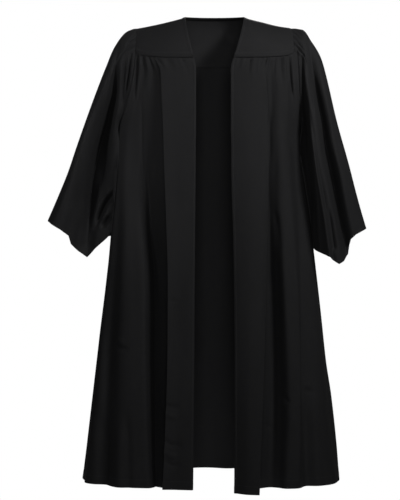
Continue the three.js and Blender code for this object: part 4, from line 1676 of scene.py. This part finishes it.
def stitch_row(cloth: Cloth, distance: float, lift: float, above_hem: bool) -> Array:
    """A line of stitching on the finished cloth.

    Args:
        cloth: The cloth.
        distance: The line's distance from the cloth's last row, or from its first column.
        lift: How far it stands out of the cloth.
        above_hem: True for a line along the last row, False for one along the first column.

    Returns:
        The line's points.
    """
    points, normals, gap = cloth.points, cloth.normals(), cloth.across()
    if above_hem:
        points, normals = (grid.swapaxes(0, 1)[:, ::-1] for grid in (points, normals))
        gap = cloth.up().T[:, ::-1]
    line, square = (
        np.stack([[np.interp(distance, g, p[:, k]) for k in range(3)] for g, p in zip(gap, grid)])
        for grid in (points, normals)
    )
    line = line + square * lift
    return np.concatenate([line, line[:1]]) if cloth.closed and above_hem else line


def hem_row(cloth: Cloth, depth: float) -> Array:
    """The stitching of a hem, or of a seam allowance, at its depth above the cloth's last row."""
    return stitch_row(cloth, depth, SEWING.stitch_lift, above_hem=True)


def strip_row(cloth: Cloth) -> Array:
    """The stitching of the strip along the cloth's first column."""
    return stitch_row(cloth, SEWING.strip_row, SEWING.strip_lift, above_hem=False)


@dataclass(frozen=True)
class Stitch:
    """A row's stitches: their pitch, the length that shows and the thread's width."""

    pitch: float = 3.6
    length: float = 2.7
    width: float = 0.5


class StitchTree:
    """A Geometry Nodes tree that lays short stitches along the lines of a mesh."""

    def __init__(self) -> None:
        """Builds the tree."""
        inputs = {"Lines": "Geometry", "Pitch": "Float", "Length": "Float", "Width": "Float"}
        nodes, given = start_group(
            "stitches_along_lines", "GeometryNodeTree", {**inputs, "Thread": "Material"},
            {"Stitches": "Geometry"},
        )
        line = nodes.add("GeometryNodeMeshToCurve", {"Mesh": given["Lines"]})["Curve"]
        values = {"Curve": line, "Length": given["Pitch"]}
        spots = nodes.add("GeometryNodeCurveToPoints", values, mode="LENGTH")
        sizes = {"X": given["Width"], "Y": given["Width"], "Z": given["Length"]}
        scale = nodes.add("ShaderNodeCombineXYZ", sizes)["Vector"]
        sizes = {"Segments": 6, "Rings": 4, "Radius": 0.5}
        ball = nodes.add("GeometryNodeMeshUVSphere", sizes)["Mesh"]
        values = {"Geometry": ball, "Scale": scale}
        stitch = nodes.add("GeometryNodeTransform", values)["Geometry"]
        stitch = nodes.add("GeometryNodeSetShadeSmooth", {"Geometry": stitch})["Geometry"]
        values = {0: (0.85, 0.85, 0.8), 1: (1.15, 1.15, 1.1), "Seed": 5}
        uneven = nodes.add("FunctionNodeRandomValue", values, data_type="FLOAT_VECTOR")["Value"]
        values = {"Points": spots["Points"], "Instance": stitch, "Rotation": spots["Rotation"]}
        values["Scale"] = uneven
        placed = nodes.add("GeometryNodeInstanceOnPoints", values)["Instances"]
        real = nodes.add("GeometryNodeRealizeInstances", {"Geometry": placed})["Geometry"]
        values = {"Geometry": real, "Material": given["Thread"]}
        sewn = nodes.add("GeometryNodeSetMaterial", values)["Geometry"]
        self.tree = nodes.close({"Stitches": sewn})

    def sew(
        self, name: str, lines: Sequence[Array], thread: Material, stitch: Stitch
    ) -> Object:
        """Sews stitches along some lines.

        Args:
            name: The piece's name.
            lines: The lines' points.
            thread: The thread's material.
            stitch: The stitch's sizes.

        Returns:
            A plain mesh object of all the stitches.
        """
        points, edges = [], []
        for line in lines:
            first = len(points)
            points.extend((line * MM).tolist())
            edges.extend((i, i + 1) for i in range(first, len(points) - 1))
        mesh = bpy.data.meshes.new(f"{name}_lines")
        mesh.from_pydata(points, edges, [])
        guide = new_object(f"{name}_lines", mesh)
        modifier = guide.modifiers.new("stitches", "NODES")
        modifier.node_group = self.tree
        sizes = {"Pitch": stitch.pitch, "Length": stitch.length, "Width": stitch.width}
        given = {label: size * MM for label, size in sizes.items()}
        given["Thread"] = thread
        for item in self.tree.interface.items_tree:
            if item.in_out == "INPUT" and item.name in given:
                modifier[item.identifier] = given[item.name]
        graph = bpy.context.evaluated_depsgraph_get()
        sewn = bpy.data.meshes.new_from_object(guide.evaluated_get(graph), depsgraph=graph)
        guide.modifiers.remove(modifier)
        bpy.data.objects.remove(guide)
        bpy.data.meshes.remove(mesh)
        sewn.name = name
        piece = new_object(name, sewn)
        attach(piece, BODY_NAME)
        return piece


# ---------------- materials


def twill_group() -> NodeTree:
    """The weave: fine slanting ribs, crossed by threads, with uneven yarn along the cloth."""
    inputs = {"Cloth": "Vector", "Ribs": "Float", "Slub": "Float"}
    outputs = {"Height": "Float", "Shade": "Float"}
    nodes, given = start_group("twill_weave", "ShaderNodeTree", inputs, outputs)
    metres = nodes.scaled(given["Cloth"], UV_SPAN)
    turns = nodes.scaled(metres, given["Ribs"])
    slant = nodes.vector("DOT_PRODUCT", {0: turns, 1: (2 * math.pi, 1.1 * math.pi, 0)})
    cross = nodes.vector("DOT_PRODUCT", {0: turns, 1: (-1.3 * math.pi, 3.1 * math.pi, 0)})
    ribs = nodes.do("MULTIPLY", nodes.do("SINE", slant), 0.6)
    threads = nodes.do("MULTIPLY", nodes.do("SINE", cross), 0.25)
    warp = nodes.noise(nodes.vector("MULTIPLY", {0: metres, 1: (900, 26, 0)}), 1.0, 2.0)
    weft = nodes.noise(nodes.vector("MULTIPLY", {0: metres, 1: (30, 800, 0)}), 1.0, 2.0)
    yarn = nodes.do("SUBTRACT", nodes.do("ADD", warp, weft), 1.0)
    slub = nodes.do("MULTIPLY", yarn, given["Slub"])
    height = nodes.do("ADD", nodes.do("ADD", ribs, threads), slub)
    # The ribs' crests are painted lighter and their grooves darker, a painted shade; slub is the yarn's
    # own unevenness.
    shade = nodes.do("ADD", slub, nodes.do("MULTIPLY", ribs, 0.08))
    return nodes.close({"Height": height, "Shade": shade})


def handling_group() -> NodeTree:
    """Soft unevenness of the dye and nap over the whole cloth."""
    inputs = {"Place": "Vector", "Amount": "Float"}
    outputs = {"Shade": "Float", "Height": "Float"}
    nodes, given = start_group("dye_and_nap", "ShaderNodeTree", inputs, outputs)
    long = nodes.vector("MULTIPLY", {0: given["Place"], 1: (1, 1, 0.35)})
    broad = nodes.do("SUBTRACT", nodes.noise(long, 9.0, 3.0), 0.5)
    near = nodes.do("SUBTRACT", nodes.noise(long, 55.0, 4.0, 0.6), 0.5)
    both = nodes.do("ADD", broad, nodes.do("MULTIPLY", near, 0.5))
    shade = nodes.do("MULTIPLY", both, given["Amount"])
    return nodes.close({"Shade": shade, "Height": both})


@dataclass(frozen=True)
class ClothFinish:
    """A finish of the robe's black polyester."""

    name: str
    colour: Place = (0.0102, 0.0102, 0.0107)
    roughness: float = 0.72
    specular: float = 0.08
    sheen: float = 0.008
    sheen_roughness: float = 0.45
    ribs: float = 1100.0  # slanting ribs to the metre
    slub: float = 0.35
    weave_height: float = 0.00006
    crumple_height: float = 0.0006
    unevenness: float = 0.5
    # how much lighter a pressed place is painted: a painted sheen
    press_shine: float = 0.35
    press_smooth: float = 0.3  # how much smoother a pressed place is
    nap_rough: float = 0.12
    # how much lighter the inner face is painted: partly the wrong side's tone, partly painted light
    reverse: float = 0.45  # how much lighter the inside of the cloth is

    def build(self, twill: NodeTree, handling: NodeTree) -> Material:
        """Makes the material.

        Args:
            twill: The weave group.
            handling: The dye and nap group.

        Returns:
            The material.
        """
        material, nodes, shader = start_material(self.name)
        flat = nodes.add("ShaderNodeUVMap", uv_map="cloth")["UV"]
        place = nodes.add("ShaderNodeTexCoord")["Object"]
        press, reverse = (
            nodes.add("ShaderNodeAttribute", attribute_name=name)["Fac"]
            for name in ("press", "reverse")
        )
        values = {"Cloth": flat, "Ribs": self.ribs, "Slub": self.slub}
        weave = nodes.add("ShaderNodeGroup", values, node_tree=twill)
        values = {"Place": place, "Amount": self.unevenness}
        nap = nodes.add("ShaderNodeGroup", values, node_tree=handling)
        # Pressed places are painted lighter, a painted sheen, and are also made smoother.
        press_and_painted_sheen = nodes.do("MULTIPLY", press, self.press_shine)
        # The inner face is painted lighter: partly the wrong side's own tone, partly painted light on the
        # shaded inside.
        inside = nodes.do("MULTIPLY", reverse, self.reverse)
        shade = nodes.do("ADD", weave["Shade"], nap["Shade"])
        for more in (press_and_painted_sheen, inside, 1.0):
            shade = nodes.do("ADD", shade, more)
        rough = nodes.do("SUBTRACT", self.roughness, nodes.do("MULTIPLY", press_and_painted_sheen, self.press_smooth))
        napped = nodes.do("MULTIPLY", nap["Shade"], self.nap_rough)
        crumple = nodes.raised(nap["Height"], self.crumple_height)
        values = {
            "Base Color": nodes.scaled(self.colour, shade),
            "Roughness": nodes.do("ADD", rough, napped),
            "Normal": nodes.raised(weave["Height"], self.weave_height, crumple),
            "Specular IOR Level": self.specular,
            "Sheen Weight": self.sheen,
            "Sheen Roughness": self.sheen_roughness,
        }
        nodes.fill(shader, values)
        return material


@dataclass(frozen=True)
class ThreadFinish:
    """Black sewing thread, with its twist."""

    name: str = "black_thread"
    colour: Place = (0.012, 0.012, 0.0125)
    roughness: float = 0.5
    specular: float = 0.3
    twist: float = 2600.0
    twist_shade: float = 0.15
    twist_height: float = 0.0001

    def build(self) -> Material:
        """Makes the material."""
        material, nodes, shader = start_material(self.name)
        place = nodes.add("ShaderNodeTexCoord")["Object"]
        turns = nodes.vector("DOT_PRODUCT", {0: place, 1: (self.twist,) * 3})
        twist = nodes.do("SINE", turns)
        # The twist's ridges are painted lighter and its grooves darker: painted shade.
        shade = nodes.do("ADD", nodes.do("MULTIPLY", twist, self.twist_shade), 1.0)
        values = {
            "Base Color": nodes.scaled(self.colour, shade),
            "Normal": nodes.raised(twist, self.twist_height),
            "Roughness": self.roughness,
            "Specular IOR Level": self.specular,
        }
        nodes.fill(shader, values)
        return material


@dataclass(frozen=True)
class FloorFinish:
    """The plain pale floor."""

    name: str = "pale_floor"
    colour: Place = (0.92, 0.92, 0.92)
    roughness: float = 0.9
    specular: float = 0.1
    unevenness: float = 0.02

    def build(self) -> Material:
        """Makes the material."""
        material, nodes, shader = start_material(self.name)
        place = nodes.add("ShaderNodeTexCoord")["Object"]
        uneven = nodes.do("SUBTRACT", nodes.noise(place, 1.5, 2.0), 0.5)
        shade = nodes.do("ADD", nodes.do("MULTIPLY", uneven, self.unevenness), 1.0)
        values = {
            "Base Color": nodes.scaled(self.colour, shade),
            "Roughness": self.roughness,
            "Specular IOR Level": self.specular,
        }
        nodes.fill(shader, values)
        return material


# ---------------- the studio


@dataclass(frozen=True)
class SoftLight:
    """A soft box: where it stands, what it faces, its width and its strength."""

    name: str
    place: Place
    aim: Place
    width: float
    watts: float
    spread: float  # degrees


@dataclass
class Studio:
    """The floor, the lights, the white surroundings and the camera."""

    eye: Place = (-0.043, -4.2, -0.697)
    lens: float = 100.8
    far: float = 60.0
    floor_below_hem: float = 0.3
    floor_size: float = 2.6
    floor_sides: int = 64
    surround: float = 1.0  # how bright the surroundings look
    bounce: float = 0.06  # how much of that light reaches the robe
    lights: tuple[SoftLight, ...] = (
        SoftLight("key", (1.95, -2.1, 1.5), (0.34, -0.1, 0.09), 0.7, 8.6, 49.0),
        SoftLight("side", (-2.3, -1.6, 0.7), (-0.45, 0.0, -0.22), 0.6, 0.6, 20.0),
        SoftLight("back", (0.5, 4.2, 1.2), (0.0, 0.2, -0.7), 1.2, 15.0, 70.0),
        SoftLight("front", (0.1, -4.6, 0.1), (0.25, 0.0, -0.5), 1.2, 14.0, 80.0),
    )

    def build(self) -> None:
        """Makes everything that isn't part of the robe."""
        low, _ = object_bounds()
        self._floor(low.z - self.floor_below_hem)
        for light in self.lights:
            self._light(light)
        self._surroundings()
        data = bpy.data.cameras.new("camera")
        data.lens = self.lens
        data.clip_end = self.far
        camera = new_object("camera", data)
        camera.location = self.eye
        camera.rotation_euler = (RIGHT_ANGLE, 0, 0)
        bpy.context.scene.camera = camera
        bpy.context.scene.view_settings.view_transform = "Standard"

    def _surroundings(self) -> None:
        """Makes the white surroundings, which light the robe less than they show."""
        world = bpy.data.worlds.new("white_surroundings")
        bpy.context.scene.world = world
        world.use_nodes = True
        nodes = Nodes(world.node_tree)
        seen = nodes.add("ShaderNodeLightPath")["Is Camera Ray"]
        extra = nodes.do("MULTIPLY", seen, self.surround - self.bounce)
        values = {"Color": (1, 1, 1, 1), "Strength": nodes.do("ADD", extra, self.bounce)}
        nodes.fill(world.node_tree.nodes["Background"], values)

    def _floor(self, height: float) -> None:
        """Makes the floor, a wide disc.

        Args:
            height: How high it lies, in metres.
        """
        turn = np.linspace(0, 2 * math.pi, self.floor_sides, endpoint=False)
        radius = self.floor_size / 2
        rim = [(math.cos(a) * radius, math.sin(a) * radius, height) for a in turn]
        mesh = bpy.data.meshes.new("floor")
        mesh.from_pydata(rim, [], [list(range(len(rim)))])
        mesh.materials.append(FloorFinish().build())
        new_object("floor", mesh)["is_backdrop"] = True

    def _light(self, light: SoftLight) -> None:
        """Makes one soft box.

        Args:
            light: Its place, aim, size and strength.
        """
        data = bpy.data.lights.new(light.name, "AREA")
        data.shape = "SQUARE"
        data.size = light.width
        data.energy = light.watts
        data.spread = math.radians(light.spread)
        lamp = new_object(light.name, data)
        lamp.location = light.place
        ray = Vector(light.aim) - Vector(light.place)
        lamp.rotation_euler = ray.to_track_quat("-Z", "Y").to_euler()


# ---------------- gathers and creases, one by one

RIGHT_FRONT_GATHERS = by_hand(
    (36, 5.5, -4.1, 70, -0.2), (45, 6, 2.7, 60, -0.2), (62, 6, 2.0, 55), (74, 4.5, -3.7, 62),
    (84, 4.5, -3.4, 70), (95, 7, 2.7, 70), (112, 5, -2.5, 60, -0.3), (133, 5.5, -4.1, 120),
    (143, 6, 3.7, 150), (153, 5, -3.7, 110), (163, 6, 3.4, 120), (171, 5, -3.4, 90),
)
LEFT_FRONT_GATHERS = by_hand(
    (12, 4.5, 2.0, 40), (21, 4.5, -3.7, 55), (31, 6, 2.4, 60), (40, 4.5, -2.5, 42),
    (51, 4.5, -3.7, 62), (62, 7, 2.5, 90), (84, 5, -2.7, 48), (98, 5, -4.1, 85),
    (110, 7, 3.1, 120), (124, 5, -2.7, 75), (141, 5.5, -4.1, 110), (152, 6, 3.4, 140),
    (163, 5, -3.4, 90),
)
RIGHT_FRONT_CREASES = (
    Crease(((-292, -972), (-270, -984), (-247, -988)), 13, -3.6),
    Crease(((-290, -958), (-262, -968)), 14, 2.2),
    Crease(((-347, -1180), (-350, -1390)), 26, 5.6, end=1),
    Crease(((-314, -1200), (-318, -1390)), 22, -6.3, end=1),
    Crease(((-272, -1190), (-276, -1390)), 24, 5.6, end=1),
    Crease(((-256, -1150), (-250, -1390)), 18, -4.9, end=1),
    Crease(((-322, -900), (-331, -1050), (-338, -1230)), 22, 4.9),
    Crease(((-146, -836), (-118, -845), (-96, -842)), 9, -1.8),
    Crease(((-146, -1140), (-124, -1150), (-98, -1148)), 11, -3.2, start=0.6),
    Crease(((-146, -1166), (-120, -1178), (-104, -1173)), 10, 2.3, start=0.6),
    Crease(((-144, -1246), (-122, -1260), (-92, -1256)), 12, -4.0, start=0.7),
    Crease(((-144, -1278), (-128, -1290), (-104, -1292)), 11, 3.2, start=0.6),
    Crease(((-142, -1306), (-120, -1318), (-96, -1312)), 11, -2.9, start=0.6),
    Crease(((-227, -116), (-228, -160), (-231, -205), (-236, -270)), 6, -8.0, start=0.7),
    Crease(((-215, -230), (-214, -380), (-213, -560)), 9, -3.6),
    Crease(((-190, -260), (-186, -420), (-190, -560)), 16, 2.2),
)
LEFT_FRONT_CREASES = (
    Crease(((202, -1120), (214, -1136), (222, -1130)), 12, -3.6),
    Crease(((262, -1100), (280, -1112), (292, -1106)), 12, -3.6),
    Crease(((262, -1090), (284, -1096)), 12, 2.2),
    Crease(((150, -1196), (160, -1214), (170, -1210)), 11, -3.6),
    Crease(((264, -1120), (266, -1250), (269, -1390)), 22, -7.0, end=1),
    Crease(((292, -1090), (298, -1240), (302, -1390)), 24, 5.6, end=1),
    Crease(((340, -1000), (352, -1200), (360, -1390)), 22, 4.9, end=1),
    Crease(((150, -250), (160, -330), (163, -470)), 16, -3.6),
    Crease(((185, -220), (192, -380), (196, -560)), 20, 3.4),
    Crease(((168, -560), (186, -640), (192, -720)), 15, -2.2),
    Crease(((221, -116), (223, -160), (226, -205), (230, -262)), 6, -8.0, start=0.7),
    Crease(((213, -116), (215, -170), (219, -240)), 6, 3.0, start=0.4),
)
BACK_CREASES = (
    Crease(((-214, -250), (-180, -330), (-120, -380)), 26, -3.5),
    Crease(((214, -250), (176, -340), (120, -400)), 26, -3.5),
    Crease(((-226, -290), (-205, -400), (-190, -520)), 24, 3.5),
    Crease(((222, -290), (208, -410), (186, -540)), 24, 3.5),
)
RIGHT_SLEEVE_GATHERS = by_hand(
    (-78, 7, 3.8, 110, -0.35), (-60, 6, -5.7, 130, -0.6), (-44, 7, 4.5, 150, -0.8),
    (-30, 5, -2.9, 120, -0.8), (-16, 6, 2.2, 100, -0.8), (-4, 5, -2.3, 80, -0.8),
    (8, 6, 2.2, 110, 0.8), (16, 8, -2.6, 90, 1.5), (30, 9, 1.8, 110, 1.4),
    (42, 8, -3.4, 120, 1.2), (54, 8, 3.0, 170, 0.8), (66, 5.5, -7.8, 180, 0.6),
    (79, 6.5, 5.1, 200, 0.35), (92, 5.5, -6.9, 150, 0.35), (106, 6.5, 3.8, 120, 0.15),
)
LEFT_SLEEVE_GATHERS = by_hand(
    (-80, 7, 3.8, 110, -0.35), (-63, 6, -5.7, 130, -0.6), (-47, 7, 4.5, 150, -0.8),
    (-33, 5, -2.9, 120, -0.8), (-18, 6, 2.2, 100, -0.8), (-5, 5, -2.3, 80, -0.8),
    (7, 6, 2.0, 120, 0.8), (16, 8, -2.8, 90, 1.6), (30, 9, 1.8, 110, 1.4),
    (43, 8, -3.2, 120, 1.2), (56, 8, 2.6, 170, 0.8), (67, 7, -5.0, 150, 1.3),
    (80, 8, 4.0, 160, 1.1), (93, 7, -5.0, 130, 1.0), (106, 8, 3.2, 110, 0.7),
)
RIGHT_SLEEVE_FRONT_CREASES = (
    Crease(
        (
            (-285, -96), (-295, -185), (-299, -228), (-310, -272), (-321, -316), (-336, -360),
            (-350, -404), (-360, -448), (-368, -500), (-374, -560), (-378, -620), (-380, -680),
        ),
        20, -50, start=0.1, end=0.1, lean=-0.35,
    ),
    Crease(((-262, -110), (-268, -215), (-276, -290)), 15, -13),
    Crease(((-272, -95), (-281, -240), (-298, -350)), 13, 5.0),
    Crease(((-309, -90), (-331, -250), (-367, -400), (-405, -540)), 22, 6.0),
    Crease(((-366, -480), (-382, -560), (-388, -680)), 36, -16, end=0.6),
    Crease(((-246, -122), (-253, -185), (-261, -250)), 8, -17, start=0.3),
    Crease(((-290, -520), (-318, -548), (-340, -589), (-352, -627)), 14, -34, start=0.5, end=0.2),
    Crease(((-306, -592), (-324, -612), (-338, -636)), 13, -20, start=0.4),
    Crease(((-332, -480), (-350, -560), (-372, -640)), 16, 5.0),
    Crease(((-430, -560), (-440, -600), (-452, -640)), 20, 3.0, end=1),
    Crease(((-398, -600), (-404, -640), (-410, -700)), 18, -3.5, end=1),
)
LEFT_SLEEVE_FRONT_CREASES = (
    Crease(
        (
            (279, -76), (284, -125), (290, -170), (302, -228), (312, -276), (322, -330),
            (330, -390), (345, -465), (361, -552), (375, -625), (390, -690),
        ),
        21, -34, start=0.2, end=0.8, lean=-0.15,
    ),
    Crease(((241, -112), (243, -189), (247, -256), (250, -330)), 8, -16, start=0.4),
    Crease(((257, -128), (259, -200), (262, -270), (266, -360)), 8, -20, start=0.3),
    Crease(
        ((257, -230), (260, -316), (264, -378), (270, -449), (278, -536), (284, -624), (290, -690)),
        18, -48, end=0.2, slot=True,
    ),
    Crease(
        ((262, -90), (272, -180), (277, -276), (287, -349), (296, -407), (306, -465), (314, -552)),
        14, 6.0,
    ),
    Crease(((300, -130), (316, -233), (328, -300), (350, -407), (374, -480), (396, -570)), 20, 6.0),
    Crease(((333, -570), (340, -620), (350, -690)), 14, -11, end=1),
    Crease(((318, -560), (324, -620), (330, -690)), 16, 3.5, end=1),
    Crease(((352, -200), (384, -330), (420, -480)), 18, -2.5),
)
SLEEVE_BACK_CREASES = (
    Crease(((262, -110), (286, -260), (318, -420), (352, -600)), 20, -6.0, end=0.6),
    Crease(((282, -110), (316, -270), (356, -430), (398, -610)), 22, 5.0, end=0.6),
    Crease(((306, -140), (344, -290), (392, -460), (430, -620)), 18, -4.5, end=0.6),
    Crease(((254, -180), (272, -330), (296, -480)), 16, 4.0),
)
FLUTES = (
    (-1, 0), (-0.91, -10), (-0.8, 17), (-0.67, -15), (-0.56, 13), (-0.43, -17), (-0.3, 15),
    (-0.19, -9), (-0.05, 8), (0.08, -7), (0.2, 12), (0.32, -15), (0.45, 16), (0.59, -14),
    (0.74, 18), (0.9, -11), (1, 0),
)
FLUTE_SHARE = (0, 0.2, 0.34, 0.5, 0.66, 0.84, 1)


def turned(creases: Sequence[Crease]) -> tuple[Crease, ...]:
    """The same creases on the other side of the robe."""
    return tuple(
        replace(crease, path=tuple((-x, z) for x, z in crease.path), lean=-crease.lean)
        for crease in creases
    )


# ---------------- the robe


class Robe:
    """All of the robe's pieces."""

    def __init__(self, gown: Material, yoke: Material) -> None:
        """Plans the pieces.

        Args:
            gown: The cloth of the fronts, the back and the sleeves.
            yoke: The cloth of the yokes.
        """
        right, left = Side.RIGHT, Side.LEFT
        self.yokes = {side: FrontYoke(side, yoke) for side in Side}
        self.fronts = {
            right: FrontPanel(
                right, gown, RIGHT_LINES, RIGHT_FRONT_GATHERS, RIGHT_FRONT_CREASES, seed=51
            ),
            left: FrontPanel(
                left, gown, LEFT_LINES, LEFT_FRONT_GATHERS, LEFT_FRONT_CREASES, seed=61, hem_dip=9
            ),
        }
        self.sleeves = {
            right: Sleeve(
                right, gown, RIGHT_SLEEVE, RIGHT_SLEEVE_GATHERS, RIGHT_SLEEVE_FRONT_CREASES,
                turned(SLEEVE_BACK_CREASES), seed=81,
            ),
            left: Sleeve(
                left, gown, LEFT_SLEEVE, LEFT_SLEEVE_GATHERS, LEFT_SLEEVE_FRONT_CREASES,
                SLEEVE_BACK_CREASES, seed=91,
            ),
        }
        self.back_yoke = BackYoke(yoke)
        self.back = BackPanel(gown, FLUTES, FLUTE_SHARE, BACK_CREASES)

    def build(self) -> dict[str, Object]:
        """Makes the pieces of cloth, by name."""
        made = {}
        parts = (
            *self.yokes.values(), self.back_yoke, *self.fronts.values(), self.back,
            *self.sleeves.values(),
        )
        for part in parts:
            piece = part.build()
            made[piece.name] = piece
            faces = piece.data.polygons
            area = sum(face.area for face in faces) / 2
            log.info("%s: %d faces, %.3f square metres of cloth", piece.name, len(faces), area)
        return made

    def sew(
        self, made: dict[str, Object], edges: dict[Side, Object], thread: Material
    ) -> None:
        """Sews the seams and hems, and says what each sheet of cloth is.

        Args:
            made: The pieces of cloth; not used.
            edges: The strips along the front edges; not used.
            thread: The thread's material.
        """
        tree, stitch = StitchTree(), Stitch()
        for side in Side:
            front, sleeve, yoke = self.fronts[side], self.sleeves[side], f"yoke_front_{side}"
            lines = [hem_row(front.cloth, SEWING.hem), strip_row(front.cloth)]
            rows = tree.sew(f"{side}_front_stitching", lines, thread, stitch)
            lines = [hem_row(sleeve.cloth, SEWING.cuff_hem)]
            cuff = tree.sew(f"{side}_cuff_stitching", lines, thread, stitch)
        rows = tree.sew("back_stitching", [hem_row(self.back.cloth, SEWING.hem)], thread, stitch)
        yokes = [yoke.cloth for yoke in self.yokes.values()]
        lines = [hem_row(cloth, SEWING.allowance) for cloth in yokes]
        lines += [strip_row(cloth) for cloth in yokes]
        lines.append(hem_row(self.back_yoke.cloth, SEWING.allowance))
        tree.sew("yoke_stitching", lines, thread, stitch)


def main() -> None:
    """Builds the robe and the studio round it."""
    twill, handling = twill_group(), handling_group()
    gown, yoke_cloth, strip_cloth, neck_painted_shade_cloth = (
        finish.build(twill, handling)
        for finish in (
            ClothFinish("black_gown_cloth"),
            ClothFinish("black_yoke_cloth", roughness=0.7, unevenness=0.35),
            ClothFinish("black_edge_strip", roughness=0.66, slub=0.2, press_shine=0.2),
            # The neck strip is painted darker than the gown: painted shade inside the back of the neck.
            ClothFinish("black_neck_strip", colour=(0.0035, 0.0035, 0.0037), slub=0.2),
        )
    )
    robe = Robe(gown, yoke_cloth)
    made = robe.build()
    edges = {
        side: EdgeStrip(side, strip_cloth, robe.yokes[side], robe.fronts[side]).build()
        for side in Side
    }
    neck = NeckStrip(neck_painted_shade_cloth, robe.back_yoke).build()
    log.info("%s: %d faces", neck.name, len(neck.data.polygons))
    robe.sew(made, edges, ThreadFinish().build())

    Studio().build()


if __name__ == "__main__":
    main()
